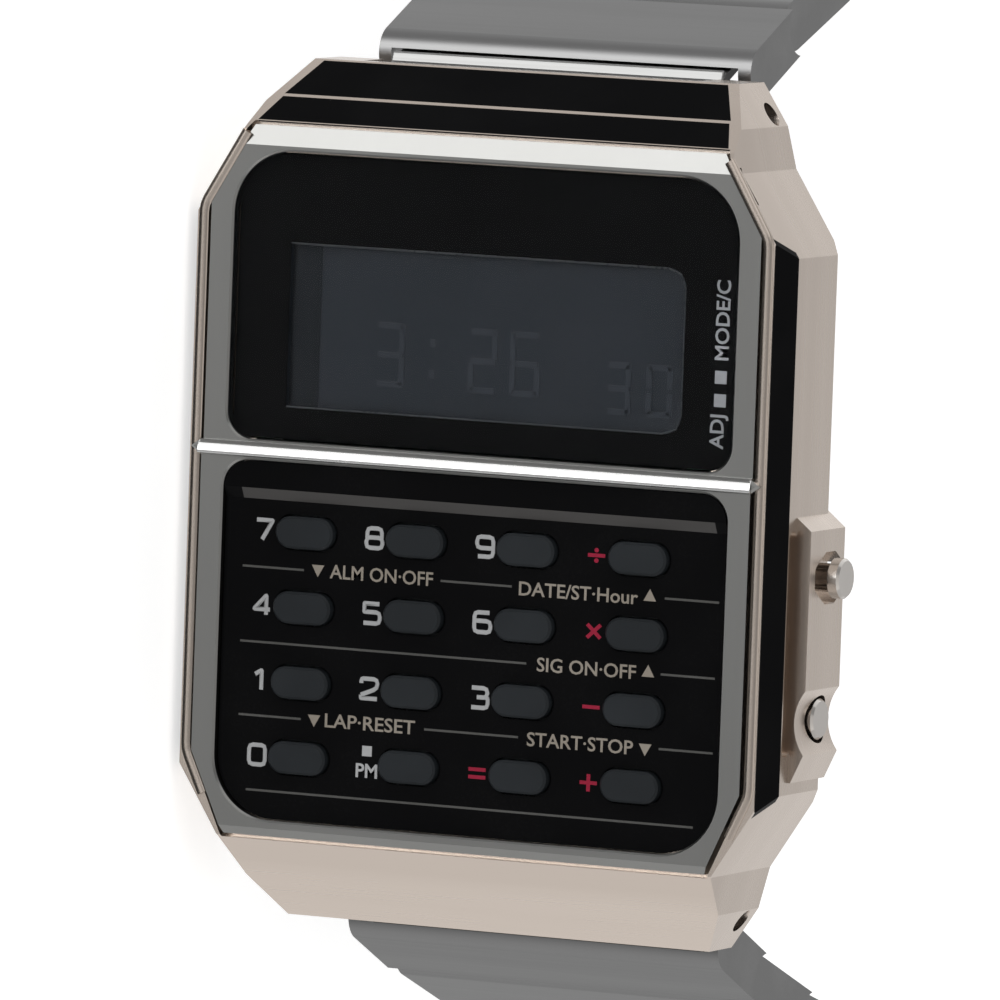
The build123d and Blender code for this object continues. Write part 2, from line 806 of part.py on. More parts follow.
with BuildPart() as circuit_board:
    with BuildSketch(face_plane(board_low_height)):
        with Locations((0, (board_top_y + board_bottom_y) / 2)):
            RectangleRounded(2 * board_half_width, board_top_y - board_bottom_y, board_corner)
    extrude(amount=board_high_height - board_low_height)
    with BuildSketch(face_plane(board_high_height)):
        with Locations((0, (panel_top_y + panel_bottom_y) / 2)):
            Rectangle(2 * chip_half_size, 2 * chip_half_size)
    extrude(amount=chip_height)
save(circuit_board, "circuit_board")

# Module frame: it carries the board, holds the cell and stands on the case back
with BuildPart() as module_frame:
    with BuildSketch(face_plane(module_low_height)):
        with Locations((0, (board_top_y + board_bottom_y) / 2)):
            RectangleRounded(2 * board_half_width, board_top_y - board_bottom_y, board_corner)
        with Locations((0, cell_y)):
            Circle(cell_radius + cell_gap, mode=Mode.SUBTRACT)
    extrude(amount=board_low_height - module_low_height)
    with BuildSketch(face_plane(back_thickness)):
        for side in (1, -1):
            with Locations((side * foot_half_span, foot_top_y), (side * foot_half_span, foot_bottom_y)):
                Circle(foot_radius)
    extrude(amount=module_low_height - back_thickness)
save(module_frame, "module_frame")

with BuildPart() as battery:
    with BuildSketch(face_plane(module_low_height)):
        with Locations((0, cell_y)):
            Circle(cell_radius)
    extrude(amount=cell_height - cell_rim_height)
    with BuildSketch(face_plane(module_low_height + cell_height - cell_rim_height)):
        with Locations((0, cell_y)):
            Circle(cell_rim_radius)
    extrude(amount=cell_rim_height)
save(battery, "battery")

with BuildPart() as battery_clip:
    with BuildSketch(face_plane(module_low_height - clip_sheet)):
        with Locations((0, cell_y)):
            SlotOverall(2 * clip_half_length, 2 * clip_half_width)
            Circle(clip_half_width - clip_rim, mode=Mode.SUBTRACT)
    extrude(amount=clip_sheet)
save(battery_clip, "battery_clip")

with BuildPart() as buzzer_disc:
    with BuildSketch(face_plane(back_thickness)):
        with Locations((0, buzzer_y)):
            Circle(buzzer_radius)
    extrude(amount=buzzer_thickness)
save(buzzer_disc, "buzzer_disc")

# Case back with countersunk screws, and the gasket round the cavity
with BuildPart() as case_back:
    with BuildSketch(face_plane(0)):
        Polygon(
            *mirrored([
                (back_half_width - back_corner_run, back_top_y),
                (back_half_width, back_top_y - back_corner_rise),
                (back_half_width, back_bottom_y + back_corner_rise),
                (back_half_width - back_corner_run, back_bottom_y),
            ]),
            align=None,
        )
    extrude(amount=back_thickness)
    chamfer(case_back.faces().sort_by(Axis.Y)[-1].edges(), length=back_edge_chamfer)
    with BuildSketch(face_plane(0)):
        with Locations(*screw_places):
            Circle(screw_head_radius + running_gap)
    extrude(amount=screw_head_sink + screw_head_height, mode=Mode.SUBTRACT)
    with BuildSketch(face_plane(0)):
        with Locations(*screw_places):
            Circle(screw_shank_radius + running_gap)
    extrude(amount=back_thickness, mode=Mode.SUBTRACT)
save(case_back, "case_back")

with BuildPart() as case_back_gasket:
    with BuildSketch(face_plane(back_thickness)):
        with Locations(cavity_centre):
            RectangleRounded(
                cavity_width + 2 * (gasket_margin + gasket_width),
                cavity_length + 2 * (gasket_margin + gasket_width),
                cavity_corner + gasket_margin + gasket_width,
            )
            RectangleRounded(
                cavity_width + 2 * gasket_margin,
                cavity_length + 2 * gasket_margin,
                cavity_corner + gasket_margin,
                mode=Mode.SUBTRACT,
            )
    extrude(amount=gasket_height)
save(case_back_gasket, "case_back_gasket")

with BuildPart() as case_back_screws:
    with BuildSketch(face_plane(screw_head_sink)):
        with Locations(*screw_places):
            Circle(screw_head_radius)
    extrude(amount=screw_head_height)
    with BuildSketch(face_plane(screw_head_sink + screw_head_height)):
        with Locations(*screw_places):
            Circle(screw_shank_radius)
    extrude(amount=screw_length)
save(case_back_screws, "case_back_screws")

with BuildPart() as spring_bars:
    for half_length, radius in ((bar_tip_half_length, bar_tip_radius), (bar_half_length, bar_radius)):
        with BuildSketch(side_plane(-half_length)):
            with Locations((bar_y, bar_height), (-bar_y, bar_height)):
                Circle(radius)
        extrude(amount=2 * half_length)
save(spring_bars, "spring_bars")


# Push buttons: head, stem and shaft in one piece, with a clip inside the case wall
def button_shaft(place):
    with BuildSketch(side_plane(shaft_foot)) as shaft:
        with Locations(place):
            Circle(shaft_radius)
    extrude(shaft.sketch, amount=stem_foot - shaft_foot)
    with BuildSketch(side_plane(cavity_half_width - clip_thickness)) as clip:
        with Locations(place):
            Circle(clip_radius)
    extrude(clip.sketch, amount=clip_thickness)


with BuildPart() as mode_button:
    button_shaft((mode_y, button_height))
    with BuildSketch(side_plane(stem_foot)):
        with Locations((mode_y, button_height)):
            Circle(mode_stem_radius)
    extrude(amount=mode_cap_face - mode_cap_thickness - stem_foot)
    with BuildSketch(side_plane(mode_cap_face - mode_cap_thickness)):
        with Locations((mode_y, button_height)):
            Circle(mode_cap_radius)
    extrude(amount=mode_cap_thickness)
    chamfer(mode_button.faces().sort_by(Axis.Z)[-1].edges(), length=button_dome)
save(mode_button, "mode_button")

with BuildPart() as adjust_button:
    button_shaft((adjust_y, button_height))
    with BuildSketch(side_plane(stem_foot)):
        with Locations((adjust_y, button_height)):
            Circle(adjust_radius)
    extrude(amount=adjust_face - stem_foot)
    chamfer(adjust_button.faces().sort_by(Axis.Z)[-1].edges(), length=button_dome)
save(adjust_button, "adjust_button")

for name, up in (("mode_spring", mode_y), ("adjust_spring", adjust_y)):
    with BuildPart() as button_spring:
        with BuildSketch(side_plane(chamber_floor)):
            with Locations((up, button_height)):
                Circle(spring_outer_radius)
                Circle(spring_inner_radius, mode=Mode.SUBTRACT)
        extrude(amount=stem_foot - chamber_floor)
    save(button_spring, name)

with BuildPart() as button_seals:
    with BuildSketch(side_plane(seal_floor)):
        with Locations((mode_y, button_height), (adjust_y, button_height)):
            Circle(seal_radius - fit_gap / 2)
            Circle(shaft_radius + fit_gap / 2, mode=Mode.SUBTRACT)
    extrude(amount=seal_width)
save(button_seals, "button_seals")


# Bracelet. Each folded link has an outer plate rolled over at its near end, two cheeks,
# a hinge pin between them and, at its far end, a tongue with the next pin's barrel.
def outer_shell(plane, half_width, start, stop):
    """Plate and rolled lip of a link whose near lobe stands at start."""
    with BuildSketch(plane.offset(-half_width)) as section:
        with Locations((start, 0)):
            Circle(link_radius)
            Circle(link_radius - link_sheet, mode=Mode.SUBTRACT)
        with Locations((start, lip_height - link_radius)):
            Rectangle(2 * link_radius, 2 * link_radius, mode=Mode.SUBTRACT)
        with Locations((start + link_radius / 2, 0)):
            Rectangle(link_radius, 2 * link_radius, mode=Mode.SUBTRACT)
        with Locations(((start + stop) / 2, link_radius - link_sheet / 2)):
            Rectangle(stop - start, link_sheet)
    extrude(section.sketch, amount=2 * half_width)


def cheeks(plane, half_width, start, stop):
    """The two side walls, round at the near end."""
    for floor in (-half_width, half_width - cheek):
        with BuildSketch(plane.offset(floor)) as wall:
            with Locations((start, 0)):
                Circle(link_radius)
            with Locations(((start + stop) / 2, 0)):
                Rectangle(stop - start, 2 * link_radius)
        extrude(wall.sketch, amount=cheek)


def far_relief(plane, half_width, pitch):
    """Hollows the far end so that the next link's round end turns inside it."""
    with BuildSketch(plane.offset(-half_width)) as hollow:
        with Locations((pitch, 0)):
            Circle(link_radius + link_relief)
    extrude(hollow.sketch, amount=2 * half_width, mode=Mode.SUBTRACT)


def far_tongue(plane, next_half_width, pitch):
    """Tongue that steps down from the plate and ends in a barrel at the far hinge."""
    half_width = next_half_width - cheek - tongue_gap
    with BuildSketch(plane.offset(-half_width)) as tongue:
        Polygon(
            (pitch - tongue_root, link_radius - link_sheet),
            (pitch - tongue_root + tongue_root_length, link_radius - link_sheet),
            (pitch - tongue_reach, tongue_sheet / 2),
            (pitch - tongue_overlap, tongue_sheet / 2),
            (pitch - tongue_overlap, -tongue_sheet / 2),
            (pitch - tongue_reach - tongue_sheet / 2, -tongue_sheet / 2),
            align=None,
        )
        with Locations((pitch, 0)):
            Circle(barrel_radius)
            Circle(pin_radius + running_gap, mode=Mode.SUBTRACT)
    extrude(tongue.sketch, amount=2 * half_width)


def hinge_pin(plane, half_width):
    with BuildSketch(plane.offset(cheek - half_width)) as pin:
        Circle(pin_radius)
    extrude(pin.sketch, amount=2 * (half_width - cheek))


def end_link(plane):
    """First link: its tube turns on the spring bar between the lugs."""
    with BuildPart() as link:
        outer_shell(plane, end_half_width, end_start + link_radius, end_pitch)
        cheeks(plane, end_half_width, end_start + link_radius, end_pitch)
        far_relief(plane, end_half_width, end_pitch)
        far_tongue(plane, end_half_width - link_taper, end_pitch)
        with BuildSketch(plane.offset(-end_tongue_half_width)) as tongue:
            Polygon(
                (bar_radius, end_tongue_low),
                (bar_radius, end_tongue_high),
                (end_tongue_rise, end_tongue_high),
                (end_tongue_rise + link_sheet, link_radius - link_sheet),
                (end_tongue_rise + 2 * link_radius - link_sheet, link_radius - link_sheet),
                (end_tongue_rise + link_radius, end_tongue_low),
                align=None,
            )
            Circle(end_tube_radius)
            Circle(bar_radius + running_gap, mode=Mode.SUBTRACT)
        extrude(tongue.sketch, amount=2 * end_tongue_half_width)
    return link


def middle_link(plane, half_width, next_half_width):
    with BuildPart() as link:
        outer_shell(plane, half_width, 0, link_pitch)
        cheeks(plane, half_width, 0, link_pitch)
        far_relief(plane, half_width, link_pitch)
        far_tongue(plane, next_half_width, link_pitch)
        hinge_pin(plane, half_width)
    return link


# Both halves of the bracelet hang from the case along the same run of angles
chain_up = bar_y
chain_height = bar_height
for index, angle in enumerate(open_angles[:-1]):
    half_width = end_half_width - index * link_taper
    next_half_width = half_width - link_taper
    pitch = link_pitch
    if index == 0:
        pitch = end_pitch
    if index == len(worn_angles) - 1:
        next_half_width = clasp_half_width
    for side, side_name in ((1, "upper"), (-1, "lower")):
        plane = chain_plane(side * chain_up, chain_height, angle, side)
        if index == 0:
            save(end_link(plane), f"{side_name}_end_link")
        else:
            save(middle_link(plane, half_width, next_half_width), f"{side_name}_link_{index}")
    chain_up = chain_up + pitch * cos(radians(angle))
    chain_height = chain_height - pitch * sin(radians(angle))

# Clasp, seen from the upper hinge: sketch x runs along the band, y out of the bracelet.
# As worn the two halves meet, which sets how far the catch bar is from the upper hinge.
worn_up = bar_y + end_pitch * cos(radians(worn_angles[0]))
for angle in worn_angles[1:]:
    worn_up = worn_up + link_pitch * cos(radians(angle))
clasp_plane = chain_plane(chain_up, chain_height, open_angles[-1], 1)
catch_plane = chain_plane(-chain_up, chain_height, open_angles[-1], -1)
clasp_lengthwise = Axis(clasp_plane.origin, clasp_plane.x_dir)
clasp_outward = Axis(clasp_plane.origin, clasp_plane.y_dir)
catch_x = 2 * worn_up - catch_reach
slider_stop = catch_x - slider_front_gap
slider_bore_stop = slider_stop - slider_front_wall
leaf_length = slider_bore_stop - slider_travel - slider_gap
cover_stop = slider_stop - cover_front_gap

# Slotted leaf that the slider runs on
with BuildPart() as clasp_strip:
    outer_shell(clasp_plane, clasp_half_width, 0, head_length)
    cheeks(clasp_plane, clasp_half_width, 0, head_length)
    hinge_pin(clasp_plane, clasp_half_width)
    with BuildSketch(clasp_plane.offset(cheek - clasp_half_width)):
        with Locations((head_length - link_sheet / 2, (link_radius - leaf_half_height) / 2)):
            Rectangle(link_sheet, link_radius + leaf_half_height)
    extrude(amount=2 * (clasp_half_width - cheek))
    with BuildSketch(clasp_plane.offset(-leaf_half_width)):
        with Locations(((head_length - link_sheet + leaf_length) / 2, 0)):
            Rectangle(leaf_length - head_length + link_sheet, 2 * leaf_half_height)
    extrude(amount=2 * leaf_half_width)
    with BuildSketch(clasp_plane.offset(-leaf_slot_half_width)):
        for slot in range(leaf_slots):
            with Locations((leaf_slot_start + slot * leaf_slot_pitch, 0)):
                Rectangle(leaf_slot_length, 2 * leaf_half_height + overrun)
    extrude(amount=2 * leaf_slot_half_width, mode=Mode.SUBTRACT)
save(clasp_strip, "clasp_strip")

# Slider: a sleeve with two pairs of ears and, at its front, the seat of the catch bar
with BuildPart() as clasp_slider:
    with BuildSketch(clasp_plane.offset(-slider_half_width)):
        with Locations(((slider_start + slider_stop) / 2, 0)):
            Rectangle(slider_stop - slider_start, 2 * slider_half_height)
        with Locations((catch_x, 0)):
            Circle(seat_radius, mode=Mode.SUBTRACT)
    extrude(amount=2 * slider_half_width)
    with BuildSketch(clasp_plane.offset(-leaf_half_width - slider_gap)):
        with Locations(((slider_start + slider_bore_stop) / 2, 0)):
            Rectangle(slider_bore_stop - slider_start, 2 * (leaf_half_height + slider_gap))
    extrude(amount=2 * (leaf_half_width + slider_gap), mode=Mode.SUBTRACT)
    for floor in (-slider_half_width, slider_half_width - ear_thickness):
        with BuildSketch(clasp_plane.offset(floor)):
            for hinge in (lever_hinge, cover_hinge):
                with Locations((hinge, hinge_rise)):
                    Circle(ear_radius)
                with Locations((hinge, (hinge_rise + slider_half_height) / 2)):
                    Rectangle(2 * ear_radius, hinge_rise - slider_half_height)
        extrude(amount=ear_thickness)
    with BuildSketch(clasp_plane.offset(ear_thickness - slider_half_width)):
        with Locations((lever_hinge, hinge_rise), (cover_hinge, hinge_rise)):
            Circle(pin_radius)
    extrude(amount=2 * (slider_half_width - ear_thickness))
save(clasp_slider, "clasp_slider")


def cover_plate(hinge, reach):
    """Barrel on the pin, a narrow root between the ears and the full-width plate."""
    root_half_width = slider_half_width - ear_thickness - tongue_gap
    plate_floor = hinge_rise + barrel_radius - cover_sheet
    with BuildSketch(clasp_plane.offset(-root_half_width)) as root:
        with Locations((hinge, hinge_rise)):
            Circle(barrel_radius)
        with Locations((hinge + cover_root / 2, plate_floor + cover_sheet / 2)):
            Rectangle(cover_root, cover_sheet)
        with Locations((hinge, hinge_rise)):
            Circle(pin_radius + running_gap, mode=Mode.SUBTRACT)
    extrude(root.sketch, amount=2 * root_half_width)
    with BuildSketch(clasp_plane.offset(-cover_half_width)) as plate:
        with Locations((hinge + (cover_root + reach) / 2, plate_floor + cover_sheet / 2)):
            Rectangle(reach - cover_root, cover_sheet)
    extrude(plate.sketch, amount=2 * cover_half_width)


with BuildPart() as lock_lever:
    cover_plate(lever_hinge, lever_reach)
save(lock_lever, "lock_lever")

with BuildPart() as clasp_cover:
    cover_plate(cover_hinge, cover_stop - cover_hinge)
    for floor in (-cover_half_width, cover_half_width - cover_side):
        with BuildSketch(clasp_plane.offset(floor)):
            with Locations((
                (cover_hinge + cover_root + cover_side_start + cover_stop) / 2,
                hinge_rise + barrel_radius - cover_side_drop / 2,
            )):
                Rectangle(
                    cover_stop - cover_hinge - cover_root - cover_side_start,
                    cover_side_drop,
                )
        extrude(amount=cover_side)
    plate_top = clasp_cover.faces().sort_by(clasp_outward)[-1]
    long_edges = plate_top.edges().filter_by(clasp_lengthwise).group_by(Axis.Z)
    chamfer(long_edges[0] + long_edges[-1], length=cover_edge)
save(clasp_cover, "clasp_cover")

# Catch: the crossbar between its arms drops into the seat of the slider
with BuildPart() as catch_link:
    outer_shell(catch_plane, clasp_half_width, 0, head_length)
    hinge_pin(catch_plane, clasp_half_width)
    for floor in (-clasp_half_width, clasp_half_width - cheek):
        with BuildSketch(catch_plane.offset(floor)):
            Circle(link_radius)
            with Locations((catch_reach, 0)):
                Circle(catch_radius)
            make_hull()
        extrude(amount=cheek)
    with BuildSketch(catch_plane.offset(cheek - clasp_half_width)):
        with Locations((catch_reach, 0)):
            Circle(catch_radius)
    extrude(amount=2 * (clasp_half_width - cheek))
save(catch_link, "catch_link")
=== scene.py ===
import math

import bmesh
import bpy
from mathutils import Matrix, Vector


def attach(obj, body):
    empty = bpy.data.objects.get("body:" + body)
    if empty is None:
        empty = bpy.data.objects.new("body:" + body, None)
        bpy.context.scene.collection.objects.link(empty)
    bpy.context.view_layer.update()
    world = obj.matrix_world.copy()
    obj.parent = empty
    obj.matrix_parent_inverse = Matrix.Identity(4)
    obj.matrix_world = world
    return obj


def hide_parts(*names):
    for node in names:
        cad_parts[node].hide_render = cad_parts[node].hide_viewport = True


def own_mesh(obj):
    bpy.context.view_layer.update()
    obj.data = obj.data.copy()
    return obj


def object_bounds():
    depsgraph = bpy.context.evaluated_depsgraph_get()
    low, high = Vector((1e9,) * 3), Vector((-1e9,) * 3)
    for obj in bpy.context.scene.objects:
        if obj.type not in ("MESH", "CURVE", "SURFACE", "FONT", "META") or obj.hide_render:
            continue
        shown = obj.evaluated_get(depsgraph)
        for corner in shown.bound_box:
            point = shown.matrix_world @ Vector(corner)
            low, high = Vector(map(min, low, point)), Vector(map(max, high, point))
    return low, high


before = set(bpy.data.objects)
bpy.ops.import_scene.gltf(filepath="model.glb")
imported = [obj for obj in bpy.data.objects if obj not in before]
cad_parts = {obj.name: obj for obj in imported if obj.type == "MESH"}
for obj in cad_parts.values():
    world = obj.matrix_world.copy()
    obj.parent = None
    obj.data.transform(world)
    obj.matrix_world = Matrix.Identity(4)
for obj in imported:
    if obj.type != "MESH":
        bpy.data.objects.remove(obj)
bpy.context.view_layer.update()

print("frame loaded:", len(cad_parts), "nodes")

mm = 0.001
# Sketch x runs to 3 o'clock, sketch y to 12 o'clock and z out of the face
faceTurn = Matrix(((0, -1, 0, 0), (0, 0, -1, 0), (1, 0, 0, 0), (0, 0, 0, 1)))


# Camera and stage

cameraView = {
    "yaw": 26.0,
    "pitch": 4.63,
    "roll": 2.07,
    "distance": 704.0,
    "slideRight": 1.39,
    "slideUp": 0.40,
    "targetHeight": 8.0,
    "lens": 510.6,
}


def addCamera():
    yaw, pitch, roll = (math.radians(cameraView[k]) for k in ("yaw", "pitch", "roll"))
    back = Vector((math.sin(yaw) * math.cos(pitch), math.sin(pitch),
                   math.cos(yaw) * math.cos(pitch)))
    up = (Vector((0, 1, 0)) - back * back.y).normalized()
    right = up.cross(back)
    right, up = (
        right * math.cos(roll) + up * math.sin(roll),
        up * math.cos(roll) - right * math.sin(roll),
    )
    spot = Vector((0, 0, cameraView["targetHeight"]))
    spot += right * cameraView["slideRight"] + up * cameraView["slideUp"]
    spot += back * cameraView["distance"]
    turn = faceTurn.to_3x3()
    axes = Matrix([turn @ right, turn @ up, turn @ back]).transposed()
    data = bpy.data.cameras.new("mainCamera")
    data.lens = cameraView["lens"]
    camera = bpy.data.objects.new("mainCamera", data)
    camera.matrix_world = Matrix.Translation(turn @ spot * mm) @ axes.to_4x4()
    bpy.context.collection.objects.link(camera)
    bpy.context.scene.camera = camera


stageSizes = {
    "floorReach": 1.6,
    "floorGap": 0.0002,
    "floorColour": (0.93, 0.93, 0.93),
    "floorRoughness": 0.9,
    "floorGlow": 0.60,
    "worldColour": (1.0, 1.0, 1.0),
    "worldFill": 0.42,
    "lampAim": (0, 0.01, 0),
}
# What metal sees of the studio: a value goes from "away" to "facing" while the dot
# product of the ray and the side goes from "low" to "high"
studioGrade = {"side": (0.45, 0.85, -0.25), "low": -0.75, "high": 0.3,
               "away": 0.50, "facing": 0.95}
studioCard = {"side": (-0.43, -0.79, -0.437), "low": 0.90, "high": 0.975,
              "away": 0.0, "facing": 3.6}
dimZones = (
    {"side": (0.10, -0.30, -0.95), "low": 0.77, "high": 0.93, "away": 1.0, "facing": 0.06},
    {"side": (0.0, 0.0, 1.0), "low": 0.0, "high": 0.42, "away": 1.0, "facing": 0.68},
    {"side": (0.55, 0.75, -0.37), "low": 0.86, "high": 0.97, "away": 1.0, "facing": 0.66},
)
lamps = [
    # name, place (m), size (m), power, colour
    ("keyLamp", (-0.62, -0.52, 0.25), 0.95, 1.9, (1.0, 0.99, 0.98)),
    ("sideLamp", (0.20, -0.20, 0.80), 0.85, 0.8, (1.0, 0.97, 0.94)),
    ("fillLamp", (0.65, -0.45, 0.10), 0.75, 0.8, (1.0, 0.98, 0.96)),
    ("backLamp", (-0.70, 0.45, 0.35), 0.95, 1.2, (0.98, 0.99, 1.0)),
]


def aimAt(spot, target):
    return (Vector(spot) - Vector(target)).to_track_quat("Z", "Y").to_matrix().to_4x4()


def addFloor():
    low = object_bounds()[0]
    reach = stageSizes["floorReach"]
    mesh = bpy.data.meshes.new("floor")
    bm = bmesh.new()
    bmesh.ops.create_grid(bm, x_segments=1, y_segments=1, size=reach)
    bmesh.ops.translate(bm, verts=bm.verts, vec=(0, 0, low[2] - stageSizes["floorGap"]))
    bm.to_mesh(mesh)
    bm.free()
    floor = bpy.data.objects.new("floor", mesh)
    bpy.context.collection.objects.link(floor)
    mesh.materials.append(floorMaterial())


def addLamps():
    for name, spot, size, power, colour in lamps:
        data = bpy.data.lights.new(name, "AREA")
        data.size = size
        data.energy = power
        data.color = colour
        lamp = bpy.data.objects.new(name, data)
        lamp.matrix_world = Matrix.Translation(spot) @ aimAt(spot, stageSizes["lampAim"])
        bpy.context.collection.objects.link(lamp)


def addWorld():
    world = bpy.data.worlds.new("studio")
    bpy.context.scene.world = world
    world.use_nodes = True
    nodes, links = world.node_tree.nodes, world.node_tree.links
    nodes.clear()
    out = nodes.new("ShaderNodeOutputWorld")
    shade = nodes.new("ShaderNodeBackground")
    shade.inputs["Color"].default_value = (*stageSizes["worldColour"], 1)
    # White to the camera; metal sees a grade to grey, one bright card and three dimmer zones
    coords = nodes.new("ShaderNodeTexCoord")

    def towards(zone):
        lean = nodes.new("ShaderNodeVectorMath")
        lean.operation = "DOT_PRODUCT"
        lean.inputs[1].default_value = zone["side"]
        links.new(coords.outputs["Generated"], lean.inputs[0])
        ramp = nodes.new("ShaderNodeMapRange")
        ramp.interpolation_type = "SMOOTHSTEP"
        ramp.inputs["From Min"].default_value = zone["low"]
        ramp.inputs["From Max"].default_value = zone["high"]
        ramp.inputs["To Min"].default_value = zone["away"]
        ramp.inputs["To Max"].default_value = zone["facing"]
        links.new(lean.outputs["Value"], ramp.inputs["Value"])
        return ramp.outputs[0]

    grade = nodes.new("ShaderNodeMath")
    links.new(towards(studioGrade), grade.inputs[0])
    links.new(towards(studioCard), grade.inputs[1])
    shaded = grade
    for zone in dimZones:
        step = nodes.new("ShaderNodeMath")
        step.operation = "MULTIPLY"
        links.new(shaded.outputs[0], step.inputs[0])
        links.new(towards(zone), step.inputs[1])
        shaded = step
    path = nodes.new("ShaderNodeLightPath")
    mirrored = nodes.new("ShaderNodeMix")
    links.new(path.outputs["Is Glossy Ray"], mirrored.inputs["Factor"])
    mirrored.inputs["A"].default_value = 1.0
    links.new(shaded.outputs[0], mirrored.inputs["B"])
    strength = nodes.new("ShaderNodeMath")
    strength.operation = "MULTIPLY"
    links.new(seenDirectly(nodes, links, stageSizes["worldFill"], 1.0), strength.inputs[0])
    links.new(mirrored.outputs["Result"], strength.inputs[1])
    links.new(strength.outputs[0], shade.inputs["Strength"])
    links.new(shade.outputs[0], out.inputs["Surface"])


def seenDirectly(nodes, links, lit, seen):
    # "seen" for what the camera, metal and glass look at, "lit" for what lights the watch
    path = nodes.new("ShaderNodeLightPath")
    add = nodes.new("ShaderNodeMath")
    add.operation = "MAXIMUM"
    links.new(path.outputs["Is Camera Ray"], add.inputs[0])
    links.new(path.outputs["Is Glossy Ray"], add.inputs[1])
    both = nodes.new("ShaderNodeMath")
    both.operation = "MAXIMUM"
    links.new(add.outputs[0], both.inputs[0])
    links.new(path.outputs["Is Transmission Ray"], both.inputs[1])
    pick = nodes.new("ShaderNodeMapRange")
    pick.inputs["To Min"].default_value = lit
    pick.inputs["To Max"].default_value = seen
    links.new(both.outputs[0], pick.inputs["Value"])
    return pick.outputs[0]


def floorMaterial():
    mat, nodes, links, shader = newMaterial("paleFloor")
    shader.inputs["Base Color"].default_value = (*stageSizes["floorColour"], 1)
    shader.inputs["Roughness"].default_value = stageSizes["floorRoughness"]
    shader.inputs["Specular IOR Level"].default_value = 0.0
    shader.inputs["Emission Color"].default_value = (1, 1, 1, 1)
    links.new(seenDirectly(nodes, links, 0.0, stageSizes["floorGlow"]),
              shader.inputs["Emission Strength"])
    # Metal looks past the floor at the studio
    letThrough(nodes, links, shader, "Is Glossy Ray")
    return mat


# Materials

def newMaterial(name):
    mat = bpy.data.materials.new(name)
    mat.use_nodes = True
    nodes, links = mat.node_tree.nodes, mat.node_tree.links
    nodes.clear()
    out = nodes.new("ShaderNodeOutputMaterial")
    shader = nodes.new("ShaderNodeBsdfPrincipled")
    links.new(shader.outputs[0], out.inputs["Surface"])
    return mat, nodes, links, shader


def letThrough(nodes, links, shader, ray):
    # Rays of this kind pass the surface as if it weren't there
    out = shader.outputs[0].links[0].to_node
    clear = nodes.new("ShaderNodeBsdfTransparent")
    path = nodes.new("ShaderNodeLightPath")
    pick = nodes.new("ShaderNodeMixShader")
    links.new(path.outputs[ray], pick.inputs[0])
    links.new(shader.outputs[0], pick.inputs[1])
    links.new(clear.outputs[0], pick.inputs[2])
    links.new(pick.outputs[0], out.inputs["Surface"])


def newGroup(name, inputs, outputs):
    group = bpy.data.node_groups.new(name, "ShaderNodeTree")
    for label, kind, value in inputs:
        socket = group.interface.new_socket(name=label, in_out="INPUT",
                                            socket_type="NodeSocket" + kind)
        socket.default_value = value
    for label, kind in outputs:
        group.interface.new_socket(name=label, in_out="OUTPUT",
                                   socket_type="NodeSocket" + kind)
    start = group.nodes.new("NodeGroupInput")
    end = group.nodes.new("NodeGroupOutput")
    return group, start, end


grain = {"scale": 6000.0, "lineDetail": 3.0, "streakScale": 180.0, "streakDetail": 4.0,
         "roughFrom": 0.12, "roughTo": 0.40, "wornFrom": 0.45, "wornTo": 0.7}


def surfaceGroup():
    # Fine brush lines and slower streaks along one direction, with the lines as height
    group, start, end = newGroup(
        "brushAndHandling",
        [("Stretch", "Vector", (1, 1, 1)), ("Scale", "Float", grain["scale"]),
         ("Low Roughness", "Float", 0.25), ("High Roughness", "Float", 0.4),
         ("Colour", "Color", (0.5, 0.5, 0.5, 1)), ("Worn Colour", "Color", (0.6, 0.6, 0.6, 1))],
        [("Colour", "Color"), ("Roughness", "Float"), ("Height", "Float")],
    )
    nodes, links = group.nodes, group.links
    coords = nodes.new("ShaderNodeTexCoord")
    stretch = nodes.new("ShaderNodeVectorMath")
    stretch.operation = "MULTIPLY"
    links.new(coords.outputs["Object"], stretch.inputs[0])
    links.new(start.outputs["Stretch"], stretch.inputs[1])
    lines = nodes.new("ShaderNodeTexNoise")
    lines.inputs["Detail"].default_value = grain["lineDetail"]
    links.new(stretch.outputs[0], lines.inputs["Vector"])
    links.new(start.outputs["Scale"], lines.inputs["Scale"])
    streaks = nodes.new("ShaderNodeTexNoise")
    streaks.inputs["Scale"].default_value = grain["streakScale"]
    streaks.inputs["Detail"].default_value = grain["streakDetail"]
    links.new(stretch.outputs[0], streaks.inputs["Vector"])
    blend = nodes.new("ShaderNodeMath")
    blend.operation = "MULTIPLY"
    links.new(lines.outputs["Fac"], blend.inputs[0])
    links.new(streaks.outputs["Fac"], blend.inputs[1])
    spread = nodes.new("ShaderNodeMapRange")
    spread.inputs["From Min"].default_value = grain["roughFrom"]
    spread.inputs["From Max"].default_value = grain["roughTo"]
    links.new(blend.outputs[0], spread.inputs["Value"])
    links.new(start.outputs["Low Roughness"], spread.inputs["To Min"])
    links.new(start.outputs["High Roughness"], spread.inputs["To Max"])
    worn = nodes.new("ShaderNodeMapRange")
    worn.inputs["From Min"].default_value = grain["wornFrom"]
    worn.inputs["From Max"].default_value = grain["wornTo"]
    links.new(streaks.outputs["Fac"], worn.inputs["Value"])
    mix = nodes.new("ShaderNodeMix")
    mix.data_type = "RGBA"
    links.new(worn.outputs[0], mix.inputs["Factor"])
    links.new(start.outputs["Colour"], mix.inputs["A"])
    links.new(start.outputs["Worn Colour"], mix.inputs["B"])
    links.new(mix.outputs["Result"], end.inputs["Colour"])
    links.new(spread.outputs[0], end.inputs["Roughness"])
    links.new(lines.outputs["Fac"], end.inputs["Height"])
    return group


surface = surfaceGroup()


